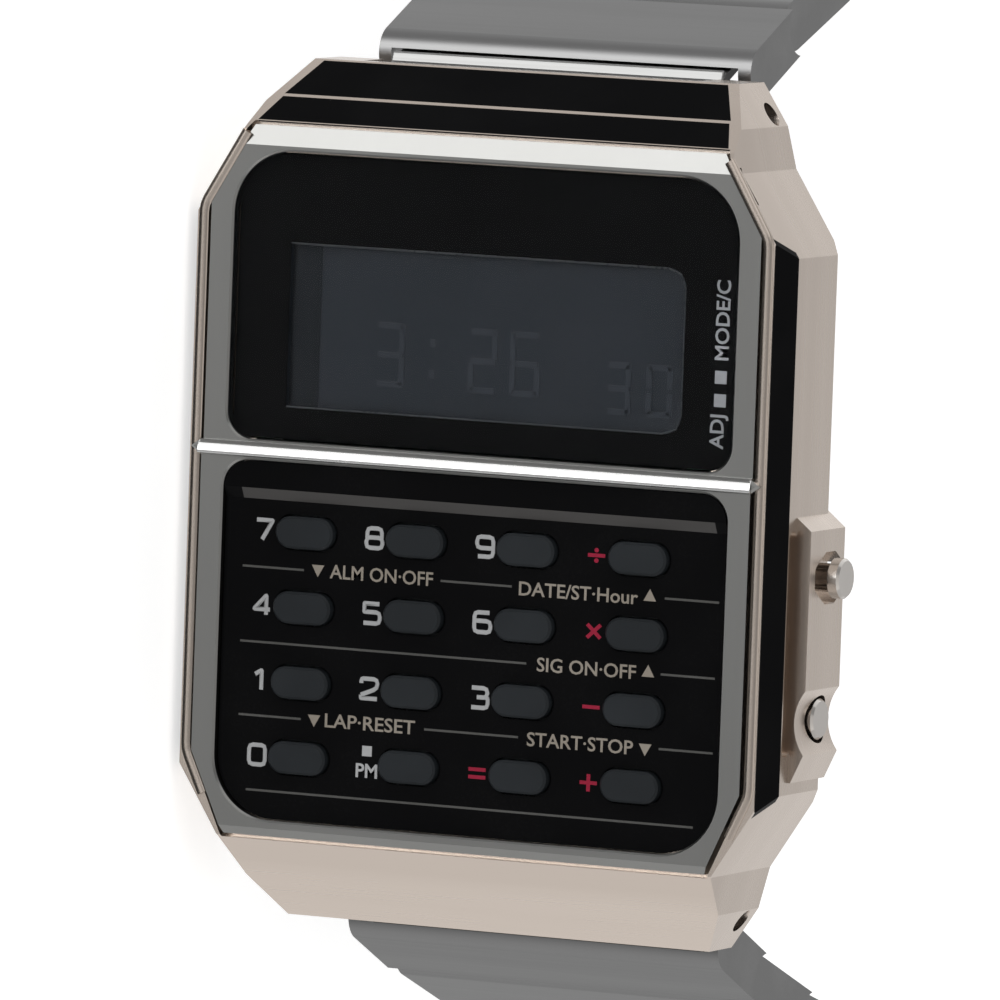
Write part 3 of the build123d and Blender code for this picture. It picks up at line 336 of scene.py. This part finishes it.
def finish(name, colour, worn, rough, stretch=(1, 1, 1), scale=grain["scale"], metallic=0.0,
           bump=0.05, depth=0.00001, specular=0.5):
    mat, nodes, links, shader = newMaterial(name)
    group = nodes.new("ShaderNodeGroup")
    group.node_tree = surface
    group.inputs["Stretch"].default_value = stretch
    group.inputs["Scale"].default_value = scale
    group.inputs["Low Roughness"].default_value = rough[0]
    group.inputs["High Roughness"].default_value = rough[1]
    group.inputs["Colour"].default_value = (*colour, 1)
    group.inputs["Worn Colour"].default_value = (*worn, 1)
    links.new(group.outputs["Colour"], shader.inputs["Base Color"])
    links.new(group.outputs["Roughness"], shader.inputs["Roughness"])
    shader.inputs["Metallic"].default_value = metallic
    shader.inputs["Specular IOR Level"].default_value = specular
    raised = nodes.new("ShaderNodeBump")
    raised.inputs["Strength"].default_value = bump
    raised.inputs["Distance"].default_value = depth
    links.new(group.outputs["Height"], raised.inputs["Height"])
    links.new(raised.outputs[0], shader.inputs["Normal"])
    return mat


acrossCase = (1, 1, 0.02)
alongCase = (0.02, 1, 1)
roundCase = (0.02, 1, 0.02)
materials = {
    "plating": finish("satinPlating", (0.56, 0.487, 0.428), (0.64, 0.562, 0.500), (0.24, 0.28),
                      stretch=roundCase, metallic=1.0, bump=0.04),
    "frameMetal": finish("brushedFrame", (0.225, 0.225, 0.218), (0.235, 0.235, 0.228),
                         (0.275, 0.295), stretch=alongCase, metallic=1.0, bump=0.02),
    "band": finish("bandMetal", (0.19, 0.19, 0.19), (0.23, 0.23, 0.23), (0.32, 0.38),
                   stretch=acrossCase, metallic=1.0, bump=0.05),
    # Frame metal painted much lighter for the bar bead: a painted highlight on top of the card's
    # reflection
    "beadPaintedHighlight": finish("beadPaintedHighlight", (0.60, 0.60, 0.595), (0.63, 0.63, 0.625), (0.24, 0.28),
                         metallic=1.0, bump=0.02),
    "backMetal": finish("backMetal", (0.50, 0.50, 0.50), (0.515, 0.515, 0.51), (0.28, 0.36),
                        stretch=alongCase, metallic=1.0, bump=0.08),
    "polished": finish("polishedMetal", (0.58, 0.55, 0.52), (0.62, 0.59, 0.56), (0.12, 0.22),
                       metallic=1.0, bump=0.03),
    # The black of the upper and side inlays is a painted dark reflection of the case's polished
    # bevels
    "inlayPaintedReflection": finish("inlayPaintedReflection", (0.004, 0.004, 0.0045), (0.006, 0.006, 0.0065), (0.05, 0.12),
                         bump=0.02, specular=0.02),
    "panelBlack": finish("panelBlack", (0.0045, 0.0045, 0.005), (0.006, 0.006, 0.0065),
                         (0.18, 0.30), bump=0.04, specular=0.03),
    "keyCap": finish("keyCap", (0.017, 0.020, 0.023), (0.024, 0.028, 0.032), (0.35, 0.5),
                     scale=9000.0, bump=0.20, specular=0.15),
    "maskBlack": finish("maskBlack", (0.0035, 0.0037, 0.004), (0.0045, 0.0047, 0.005), (0.4, 0.55),
                        bump=0.02, specular=0.03),
    "rubber": finish("blackRubber", (0.02, 0.02, 0.02), (0.03, 0.03, 0.03), (0.7, 0.85), bump=0.2),
    "boardGreen": finish("boardGreen", (0.03, 0.16, 0.08), (0.04, 0.19, 0.10), (0.35, 0.5)),
    "resin": finish("moduleResin", (0.03, 0.03, 0.033), (0.045, 0.045, 0.05), (0.5, 0.65),
                    bump=0.1),
    "innerMetal": finish("innerMetal", (0.52, 0.52, 0.52), (0.58, 0.58, 0.58), (0.25, 0.4),
                         metallic=1.0),
    "brassDisc": finish("brassDisc", (0.62, 0.45, 0.18), (0.68, 0.52, 0.24), (0.3, 0.45),
                        metallic=1.0),
    "digitInk": finish("digitInk", (0.50, 0.51, 0.52), (0.55, 0.56, 0.57), (0.45, 0.6),
                       specular=0.2),
    "signInk": finish("signInk", (0.36, 0.014, 0.045), (0.41, 0.018, 0.055), (0.45, 0.6),
                      specular=0.2),
    "wordInk": finish("wordInk", (0.36, 0.32, 0.27), (0.41, 0.37, 0.32), (0.45, 0.6), specular=0.2),
    "windowInk": finish("windowInk", (0.34, 0.35, 0.37), (0.38, 0.39, 0.41), (0.45, 0.6),
                        specular=0.2),
    "lineInk": finish("lineInk", (0.10, 0.10, 0.095), (0.12, 0.12, 0.115), (0.45, 0.6),
                      specular=0.2),
    "segmentInk": finish("segmentInk", (0.026, 0.032, 0.041), (0.029, 0.035, 0.045), (0.3, 0.4),
                         specular=0.2),
    # Painted shadow for the left of the display, where the recess wall shades it
    "displayPaintedShadow": finish("displayPaintedShadow", (0.011, 0.013, 0.016), (0.013, 0.015, 0.018), (0.3, 0.4),
                          specular=0.1),
    "rimGrey": finish("rimGrey", (0.040, 0.044, 0.050), (0.048, 0.052, 0.058), (0.25, 0.35),
                      specular=0.3),
    # A lighter copy of the band metal: painted sheen on the end-link tongues
    "lipPaintedSheen": finish("lipPaintedSheen", (0.24, 0.24, 0.237), (0.255, 0.255, 0.25), (0.30, 0.36),
                       stretch=acrossCase, metallic=1.0, bump=0.03),
    # Spring bar steel painted near black: painted shade of the lug holes
    "springBarPaintedShade": finish("springBarPaintedShade", (0.05, 0.05, 0.05), (0.07, 0.07, 0.07), (0.35, 0.5),
                        metallic=1.0),
    # The ledge's lighter grey is a painted glare band on the black key panel
    "ledge": finish("ledgePaintedGlare", (0.045, 0.042, 0.040), (0.058, 0.054, 0.051), (0.3, 0.45),
                    stretch=acrossCase, bump=0.05, specular=0.4),
    "display": finish("liquidCrystal", (0.014, 0.018, 0.024), (0.017, 0.021, 0.028), (0.3, 0.4),
                      scale=3000.0, bump=0.02, specular=0.2),
}
glass = {"colour": (0.96, 0.97, 0.98), "roughness": 0.02, "ior": 1.12}


def glassMaterial():
    mat, nodes, links, shader = newMaterial("windowGlass")
    shader.inputs["Base Color"].default_value = (*glass["colour"], 1)
    shader.inputs["Roughness"].default_value = glass["roughness"]
    shader.inputs["IOR"].default_value = glass["ior"]
    shader.inputs["Transmission Weight"].default_value = 1.0
    letThrough(nodes, links, shader, "Is Shadow Ray")
    return mat


materials["glass"] = glassMaterial()

nodeFinish = {
    "case_body": "plating", "side_inlays": "inlayPaintedReflection", "upper_inlays": "inlayPaintedReflection",
    "face_frame": "frameMetal", "display_window": "glass", "lcd_panel": "display",
    "lcd_holder": "maskBlack", "contact_strip": "rubber", "key_panel": "panelBlack",
    "key_sheet": "rubber", "circuit_board": "boardGreen", "module_frame": "resin",
    "battery": "innerMetal", "battery_clip": "innerMetal", "buzzer_disc": "brassDisc",
    "case_back": "backMetal", "case_back_gasket": "rubber", "case_back_screws": "innerMetal",
    # The spring bars get steel painted near black, a painted shade of the lug holes
    "spring_bars": "springBarPaintedShade", "mode_spring": "innerMetal", "adjust_spring": "innerMetal",
    "button_seals": "rubber", "mode_button": "polished", "adjust_button": "polished",
}
for node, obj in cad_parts.items():
    if node.startswith("key_") and node not in nodeFinish:
        look = "keyCap"
    else:
        look = nodeFinish.get(node, "band")
    obj.data.materials.clear()
    obj.data.materials.append(materials[look])
print("materials set")

# Printed marks: digits, signs, words and lines on the key panel

keypad = {
    "columns": 4, "firstX": -9.33, "firstY": -1.91, "pitchX": 6.15, "pitchY": 3.77,
    "markX": -2.36, "digitWide": 0.90, "digitTall": 0.98, "pen": 0.23,
    "signSize": 1.75, "signWeight": 0.02, "signWide": 1.1,
    "height": 7.6, "ink": 0.015, "lineWidth": 0.11,
    "wordSize": 0.98, "wordWeight": 0.012, "pointer": 0.40,
}
# The decimal point is a small square above its key's middle, with a word below it
pointMark = {"half": 0.27, "low": 0.38, "high": 0.90}
afternoon = {"text": "PM", "centre": (-5.53, -13.57), "weight": 0.02, "span": 1.2}
keyMarks = ("7", "8", "9", "÷", "4", "5", "6", "×", "1", "2", "3", "−", "0", ".", "=", "+")
inkLines = [
    # up, spans
    (-3.78, ((-12.85, -9.42), (-1.78, 2.16), (10.58, 13.55))),
    (-7.55, ((-12.85, 3.11), (10.51, 13.46))),
    (-11.25, ((-12.8, -9.3), (-2.4, 2.8), (10.55, 13.50))),
    (-15.0, ((-12.25, 12.57),)),
]
# Function words in the gaps of the lines: words, start, end, up
functionWords = (
    ("ALM ON·OFF", -7.96, -2.21, -3.74),
    ("DATE/ST·Hour", 2.56, 9.11, -3.84),
    ("SIG ON·OFF", 3.70, 9.15, -7.55),
    ("LAP·RESET", -7.95, -2.92, -11.21),
    ("START·STOP", 3.30, 9.14, -11.30),
)
# Small pointers beside the words: across, up, turned down
pointers = ((-8.63, -3.67, True), (9.76, -3.77, False), (9.81, -7.53, False),
            (-8.56, -11.19, True), (9.80, -11.26, True))
# Digits as strokes in a unit box: corner cut, points; a closed stroke ends where it began
digitStrokes = {
    "0": ((0.22, ((0, 0), (1, 0), (1, 1), (0, 1), (0, 0))),),
    "1": ((0.04, ((0.22, 0.78), (0.62, 1), (0.62, 0))),),
    "2": ((0.22, ((0, 0.76), (0, 1), (1, 1), (1, 0.54), (0, 0.16))),
          (0.02, ((0, 0.16), (0, 0), (1, 0)))),
    "3": ((0.22, ((0, 1), (0.96, 1), (0.96, 0.53), (0.32, 0.53))),
          (0.22, ((0.8, 0.53), (1, 0.53), (1, 0), (0, 0)))),
    "4": ((0.04, ((0.76, 0), (0.76, 1), (0, 0.28), (1, 0.28))),),
    "5": ((0.02, ((0.95, 1), (0.03, 1), (0.03, 0.57), (0.3, 0.57))),
          (0.22, ((0.3, 0.57), (1, 0.57), (1, 0), (0, 0)))),
    "6": ((0.22, ((0.92, 1), (0, 1), (0, 0), (1, 0), (1, 0.57), (0.05, 0.57))),),
    "7": ((0.04, ((0, 1), (1, 1), (0.36, 0))),),
    "8": ((0.22, ((0, 0), (1, 0), (1, 0.53), (0, 0.53), (0, 0))),
          (0.22, ((0.05, 0.5), (0.05, 1), (0.95, 1), (0.95, 0.5)))),
    "9": ((0.22, ((0.08, 0), (1, 0), (1, 1), (0, 1), (0, 0.43), (0.95, 0.43))),),
}
tubeRings = 2
letterSteps = 3


def roundedPath(points, cut):
    # Cuts each corner with a short arc of three points
    closed = points[0] == points[-1]
    places = [Vector(p) for p in (points[:-1] if closed else points)]
    path = []
    for index, spot in enumerate(places):
        if not closed and index in (0, len(places) - 1):
            path.append(spot)
            continue
        before, after = places[index - 1], places[(index + 1) % len(places)]
        reach = min(cut, (spot - before).length / 2, (after - spot).length / 2)
        start = spot + (before - spot).normalized() * reach
        stop = spot + (after - spot).normalized() * reach
        path += [start, (start + stop) / 4 + spot / 2, stop]
    return path, closed


def tubeMesh(paths, tube, tall, height):
    # Round tubes along paths of (points, closed), pressed to the height "tall"
    curve = bpy.data.curves.new("tube", "CURVE")
    curve.dimensions = "3D"
    curve.bevel_depth = tube / 2
    curve.bevel_resolution = tubeRings
    curve.use_fill_caps = True
    for path, closed in paths:
        spline = curve.splines.new("POLY")
        spline.points.add(len(path) - 1)
        for point, spot in zip(spline.points, path):
            point.co = (spot.x, spot.y, 0, 1)
        spline.use_cyclic_u = closed
    mesh = meshOf("tube", curve)
    mesh.transform(Matrix.Translation((0, 0, height)) @ Matrix.Diagonal((1, 1, tall / tube, 1)))
    return mesh


def meshOf(name, curve):
    holder = bpy.data.objects.new(name, curve)
    bpy.context.collection.objects.link(holder)
    bpy.context.view_layer.update()
    graph = bpy.context.evaluated_depsgraph_get()
    mesh = bpy.data.meshes.new_from_object(holder.evaluated_get(graph))
    bpy.data.objects.remove(holder)
    bpy.data.curves.remove(curve)
    return mesh


def addMesh(bm, mesh):
    bm.from_mesh(mesh)
    bpy.data.meshes.remove(mesh)


def strokeMesh(digit, centre, wide, tall, pen, height, thick):
    paths = []
    for cut, points in digitStrokes[digit]:
        scaled = [(centre[0] + (x - 0.5) * wide, centre[1] + (y - 0.5) * tall) for x, y in points]
        paths.append(roundedPath(scaled, cut))
    return tubeMesh(paths, pen, thick, height + thick / 2)


def textMesh(words, size, centre, height, thick, weight, turned=0.0, wide=1.0, span=0.0):
    curve = bpy.data.curves.new("words", "FONT")
    curve.body = words
    curve.size = size
    curve.align_x = "CENTER"
    curve.align_y = "CENTER"
    curve.extrude = thick / 2
    curve.offset = weight
    curve.resolution_u = letterSteps
    mesh = meshOf("words", curve)
    across = [v.co.x for v in mesh.vertices]
    upward = [v.co.y for v in mesh.vertices]
    middle = ((min(across) + max(across)) / 2, (min(upward) + max(upward)) / 2)
    mesh.transform(Matrix.Translation((-middle[0], -middle[1], 0)))
    if span:
        wide = span / (max(across) - min(across))
    mesh.transform(Matrix.Diagonal((wide, 1, 1, 1)))
    mesh.transform(Matrix.Rotation(turned, 4, "Z"))
    mesh.transform(Matrix.Translation((centre[0], centre[1], height + thick / 2)))
    return mesh


def barMesh(bm, low, high, height, thick):
    made = bmesh.ops.create_cube(bm, size=1.0)["verts"]
    bmesh.ops.scale(bm, verts=made, vec=(high[0] - low[0], high[1] - low[1], thick))
    bmesh.ops.translate(bm, verts=made,
                        vec=((low[0] + high[0]) / 2, (low[1] + high[1]) / 2, height + thick / 2))
    return made


def prism(bm, corners, reach):
    # The ring of corners closed to a face and pushed out along the vector "reach"
    face = bm.faces.new([bm.verts.new(spot) for spot in corners])
    far = bmesh.ops.extrude_face_region(bm, geom=[face])["geom"]
    bmesh.ops.translate(bm, verts=[e for e in far if isinstance(e, bmesh.types.BMVert)],
                        vec=reach)


def addPiece(name, bm, look, body="root"):
    # A mesh drawn in watch millimetres becomes a piece in the part's own frame
    mesh = bpy.data.meshes.new(name)
    bmesh.ops.transform(bm, matrix=faceTurn @ Matrix.Diagonal((mm, mm, mm, 1)), verts=bm.verts)
    bm.to_mesh(mesh)
    bm.free()
    mesh.materials.append(materials[look])
    piece = bpy.data.objects.new(name, mesh)
    bpy.context.collection.objects.link(piece)
    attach(piece, body)
    return piece


def addKeyMarks():
    digits, signs = bmesh.new(), bmesh.new()
    for index, mark in enumerate(keyMarks):
        centre = (
            keypad["firstX"] + (index % keypad["columns"]) * keypad["pitchX"] + keypad["markX"],
            keypad["firstY"] - (index // keypad["columns"]) * keypad["pitchY"],
        )
        if mark == ".":
            barMesh(digits, (centre[0] - pointMark["half"], centre[1] + pointMark["low"]),
                    (centre[0] + pointMark["half"], centre[1] + pointMark["high"]),
                    keypad["height"], keypad["ink"])
        elif mark in digitStrokes:
            addMesh(digits, strokeMesh(mark, centre, keypad["digitWide"], keypad["digitTall"],
                                       keypad["pen"], keypad["height"], keypad["ink"]))
        else:
            addMesh(signs, textMesh(mark, keypad["signSize"], centre, keypad["height"],
                                    keypad["ink"], keypad["signWeight"], wide=keypad["signWide"]))
    addMesh(digits, textMesh(afternoon["text"], keypad["wordSize"], afternoon["centre"],
                             keypad["height"], keypad["ink"], afternoon["weight"],
                             span=afternoon["span"]))
    addPiece("keyDigits", digits, "digitInk")
    addPiece("keySigns", signs, "signInk")


def addPanelLines():
    rules = bmesh.new()
    for up, spans in inkLines:
        for start, stop in spans:
            barMesh(rules, (start, up - keypad["lineWidth"] / 2),
                    (stop, up + keypad["lineWidth"] / 2), keypad["height"], keypad["ink"])
    addPiece("panelLines", rules, "lineInk")


def addFunctionWords():
    words = bmesh.new()
    for text, start, stop, up in functionWords:
        addMesh(words, textMesh(text, keypad["wordSize"], ((start + stop) / 2, up),
                                keypad["height"], keypad["ink"], keypad["wordWeight"],
                                span=stop - start))
    for across, up, down in pointers:
        made = bmesh.ops.create_cone(words, cap_ends=True, segments=3, depth=keypad["ink"],
                                     radius1=keypad["pointer"],
                                     radius2=keypad["pointer"])["verts"]
        spot = Matrix.Translation((across, up, keypad["height"] + keypad["ink"] / 2))
        turn = Matrix.Rotation(math.pi if down else 0.0, 4, "Z")
        bmesh.ops.transform(words, verts=made, matrix=spot @ turn)
    addPiece("functionWords", words, "wordInk")


addKeyMarks()
addPanelLines()
addFunctionWords()

# Slope between the key field and the strip above it, in a lighter grey that is a painted glare on
# the black panel
ledge = {"startX": -12.9, "endX": 13.3, "lowUp": -0.37, "highUp": 0.18,
         "lowHeight": 7.6, "highHeight": 7.9}


def addLedge():
    bm = bmesh.new()
    made = barMesh(bm, (ledge["startX"], ledge["lowUp"]), (ledge["endX"], ledge["highUp"]),
                   ledge["lowHeight"], keypad["ink"])
    rise = (ledge["highHeight"] - ledge["lowHeight"]) / (ledge["highUp"] - ledge["lowUp"])
    for vert in made:
        vert.co.z += (vert.co.y - ledge["lowUp"]) * rise
    addPiece("panelLedge", bm, "ledge")


addLedge()

# Display: printed mask under the window and the segments of the panel

display = {
    "maskHeight": 7.11, "maskThick": 0.03,
    "outerX": 13.85, "outerLow": 2.7, "outerHigh": 17.0,
    "openX": 10.95, "openLow": 4.3, "openHigh": 12.55,
    "corner": 1.0, "cornerSteps": 6,
    "segmentHeight": 6.8, "segmentThick": 0.02, "stroke": 0.30, "segmentGap": 0.12,
    "colonX": -3.2, "colonUp": (6.2, 7.75), "colonTall": 0.42, "shadeX": -9.3,
}


def addMask():
    bm = bmesh.new()
    d = display
    for low, high in (
        ((-d["outerX"], d["outerLow"]), (-d["openX"], d["outerHigh"])),
        ((d["openX"], d["outerLow"]), (d["outerX"], d["outerHigh"])),
        ((-d["openX"], d["outerLow"]), (d["openX"], d["openLow"])),
        ((-d["openX"], d["openHigh"]), (d["openX"], d["outerHigh"])),
    ):
        barMesh(bm, low, high, d["maskHeight"], d["maskThick"])
    for up, turn in ((d["openHigh"], 1), (d["openLow"], -1)):
        corner = Vector((d["openX"], up, d["maskHeight"]))
        middle = corner - Vector((d["corner"], turn * d["corner"], 0))
        spots = [corner]
        for step in range(d["cornerSteps"] + 1):
            angle = turn * step * math.pi / 2 / d["cornerSteps"]
            spots.append(middle + Matrix.Rotation(angle, 3, "Z") @ Vector((d["corner"], 0, 0)))
        prism(bm, spots, (0, 0, d["maskThick"]))
    bmesh.ops.recalc_face_normals(bm, faces=bm.faces)
    addPiece("windowPrint", bm, "maskBlack")


addMask()

# Lit segments a to g of each digit, then the readout: digit, left, low, width, height
segments = {"3": "abcdg", "2": "abdeg", "6": "acdefg", "0": "abcdef"}
readout = (
    ("3", -6.20, 5.62, 1.60, 3.22), ("2", -1.05, 5.62, 1.60, 3.22), ("6", 1.25, 5.62, 1.65, 3.22),
    ("3", 6.60, 5.05, 1.35, 2.62), ("0", 8.78, 5.05, 1.45, 2.62),
)


def addReadout():
    bm = bmesh.new()
    thick = display["segmentThick"]
    height = display["segmentHeight"]
    stroke = display["stroke"]
    for digit, left, low, width, tall in readout:
        middle = low + tall / 2
        right, high = left + width, low + tall
        gap = display["segmentGap"]
        places = {
            "a": ((left + gap, high - stroke), (right - gap, high)),
            "b": ((right - stroke, middle + gap), (right, high - gap)),
            "c": ((right - stroke, low + gap), (right, middle - gap)),
            "d": ((left + gap, low), (right - gap, low + stroke)),
            "e": ((left, low + gap), (left + stroke, middle - gap)),
            "f": ((left, middle + gap), (left + stroke, high - gap)),
            "g": ((left + gap, middle - stroke / 2), (right - gap, middle + stroke / 2)),
        }
        for letter in segments[digit]:
            barMesh(bm, *places[letter], height, thick)
    for up in display["colonUp"]:
        barMesh(bm, (display["colonX"], up),
                (display["colonX"] + stroke, up + display["colonTall"]), height, thick)
    addPiece("readout", bm, "segmentInk")
    # A dark strip laid over the left of the display is a painted shadow of the recess wall
    shade = bmesh.new()
    barMesh(shade, (-display["openX"], display["openLow"]),
            (display["shadeX"], display["openHigh"]), height, thick)
    addPiece("displayShade", shade, "displayPaintedShadow")


addReadout()

# Bead along the bar, whose raised shape catches the card and whose metal is painted lighter than
# the frame as a painted highlight, and the rim round the display
bead = {"reach": 15.3, "soft": 0.06, "softSteps": 3,
        "section": ((1.74, 8.12), (1.80, 8.33), (1.94, 8.34), (2.16, 8.27), (2.32, 8.18),
                    (2.42, 8.12))}
displayRim = {"width": 0.09}


def addBead():
    bm = bmesh.new()
    prism(bm, [(-bead["reach"], up, height) for up, height in bead["section"]],
          (2 * bead["reach"], 0, 0))
    bmesh.ops.recalc_face_normals(bm, faces=bm.faces)
    bmesh.ops.bevel(bm, geom=bm.edges[:], offset=bead["soft"], segments=bead["softSteps"],
                    profile=0.5, affect="EDGES", material=-1, clamp_overlap=True)
    addPiece("barBead", bm, "beadPaintedHighlight")


def addDisplayRim():
    d, inset = display, displayRim["width"] / 2
    left, right = -d["openX"], d["openX"] - inset
    low, high = d["openLow"], d["openHigh"] - inset
    path = roundedPath([(left, high), (right, high), (right, low), (left, low)], d["corner"])
    bm = bmesh.new()
    addMesh(bm, tubeMesh([path], displayRim["width"], displayRim["width"],
                         d["maskHeight"]))
    addPiece("displayRim", bm, "rimGrey")


# Rolled edge that runs down each side between the face and the black band
railEdge = {"wide": 0.62, "tall": 0.34, "height": 7.76, "cut": 0.35,
            "path": ((13.32, 18.0), (15.60, 14.20), (15.60, -13.20), (14.60, -15.35))}


def addRailEdges():
    bm = bmesh.new()
    for side in (1, -1):
        path = roundedPath([(side * x, y) for x, y in railEdge["path"]], railEdge["cut"])
        addMesh(bm, tubeMesh([path], railEdge["wide"], railEdge["tall"], railEdge["height"]))
    addPiece("railEdges", bm, "plating")


addRailEdges()
addBead()
addDisplayRim()

# Cross slots in the four screws of the case back, drawn as flat black crosses: painted shadow in
# place of the slots' depth
slots = {"across": 12.3, "highUp": 16.9, "lowUp": -16.6, "long": 0.62, "half": 0.09,
         "height": 0.0, "thick": 0.015}


def addSlotShadows():
    bm = bmesh.new()
    for across in (-slots["across"], slots["across"]):
        for up in (slots["highUp"], slots["lowUp"]):
            for reachX, reachY in ((slots["long"], slots["half"]),
                                   (slots["half"], slots["long"])):
                barMesh(bm, (across - reachX, up - reachY), (across + reachX, up + reachY),
                        slots["height"], slots["thick"])
    addPiece("screwSlotShadows", bm, "maskBlack")


addSlotShadows()

# Sloping lip on the tongue of each end link, in the link's own length and outward directions; its
# metal is painted lighter than the band as a painted sheen
lip = {"angle": 64.5, "barUp": 20.1, "barHeight": 1.9, "halfWidth": 9.2,
       "soft": 0.06, "softSteps": 2,
       "section": ((2.05, 0.56), (2.42, 0.92), (2.56, 0.92), (2.56, 0.56))}


def addLips():
    turn = math.radians(lip["angle"])
    for name, body, side in (("upperLip", "upper_end_link", 1), ("lowerLip", "lower_end_link", -1)):
        bm = bmesh.new()
        corners = []
        for along, outward in lip["section"]:
            up = lip["barUp"] + along * math.cos(turn) + outward * math.sin(turn)
            height = lip["barHeight"] - along * math.sin(turn) + outward * math.cos(turn)
            corners.append((-lip["halfWidth"], side * up, height))
        prism(bm, corners, (2 * lip["halfWidth"], 0, 0))
        bmesh.ops.recalc_face_normals(bm, faces=bm.faces)
        bmesh.ops.bevel(bm, geom=bm.edges[:], offset=lip["soft"], segments=lip["softSteps"],
                        profile=0.5, affect="EDGES", material=-1)
        addPiece(name, bm, "lipPaintedSheen", body)


addLips()

# Coil springs behind the two buttons, in place of the plain tubes
coil = {"height": 2.5, "radius": 0.59, "wire": 0.13, "wireSides": 8, "turns": 4, "steps": 20,
        "start": 15.2, "length": 0.8, "travel": 0.5,
        "places": (("mode", -2.6), ("adjust", -9.66))}


def addCoils():
    for name, up in coil["places"]:
        bm = bmesh.new()
        ring = bmesh.ops.create_circle(bm, segments=coil["wireSides"],
                                       radius=coil["wire"] / 2)["verts"]
        bmesh.ops.translate(bm, verts=ring, vec=(coil["start"] + coil["wire"] / 2,
                                                 up + coil["radius"], coil["height"]))
        steps = coil["turns"] * coil["steps"]
        bmesh.ops.spin(bm, geom=bm.verts[:] + bm.edges[:], cent=(0, up, coil["height"]),
                       axis=(1, 0, 0), dvec=((coil["length"] - coil["wire"]) / steps, 0, 0),
                       angle=coil["turns"] * 2 * math.pi, steps=steps, use_merge=False)
        bmesh.ops.holes_fill(bm, edges=bm.edges, sides=coil["wireSides"])
        bmesh.ops.recalc_face_normals(bm, faces=bm.faces)
        piece = addPiece(name + "Coil", bm, "innerMetal")
        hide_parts(name + "_spring")
        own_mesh(piece)


addCoils()

# Words down the right edge of the window, read from below
edgeWords = {"across": 13.0, "size": 1.05, "weight": 0.015,
             "words": (("MODE/C", 8.15, 12.1), ("ADJ", 3.75, 5.45)),
             "squares": (6.15, 7.30), "squareHalf": 0.32}


def addEdgeWords():
    bm = bmesh.new()
    height = display["maskHeight"] + display["maskThick"]
    across, half = edgeWords["across"], edgeWords["squareHalf"]
    for text, low, high in edgeWords["words"]:
        addMesh(bm, textMesh(text, edgeWords["size"], (across, (low + high) / 2), height,
                             display["segmentThick"], edgeWords["weight"],
                             turned=math.pi / 2, span=high - low))
    for up in edgeWords["squares"]:
        barMesh(bm, (across - half, up - half), (across + half, up + half), height,
                display["segmentThick"])
    addPiece("windowWords", bm, "windowInk")


addEdgeWords()
print("marks and display added")

addCamera()
addFloor()
addLamps()
addWorld()
bpy.context.scene.view_settings.view_transform = "Standard"
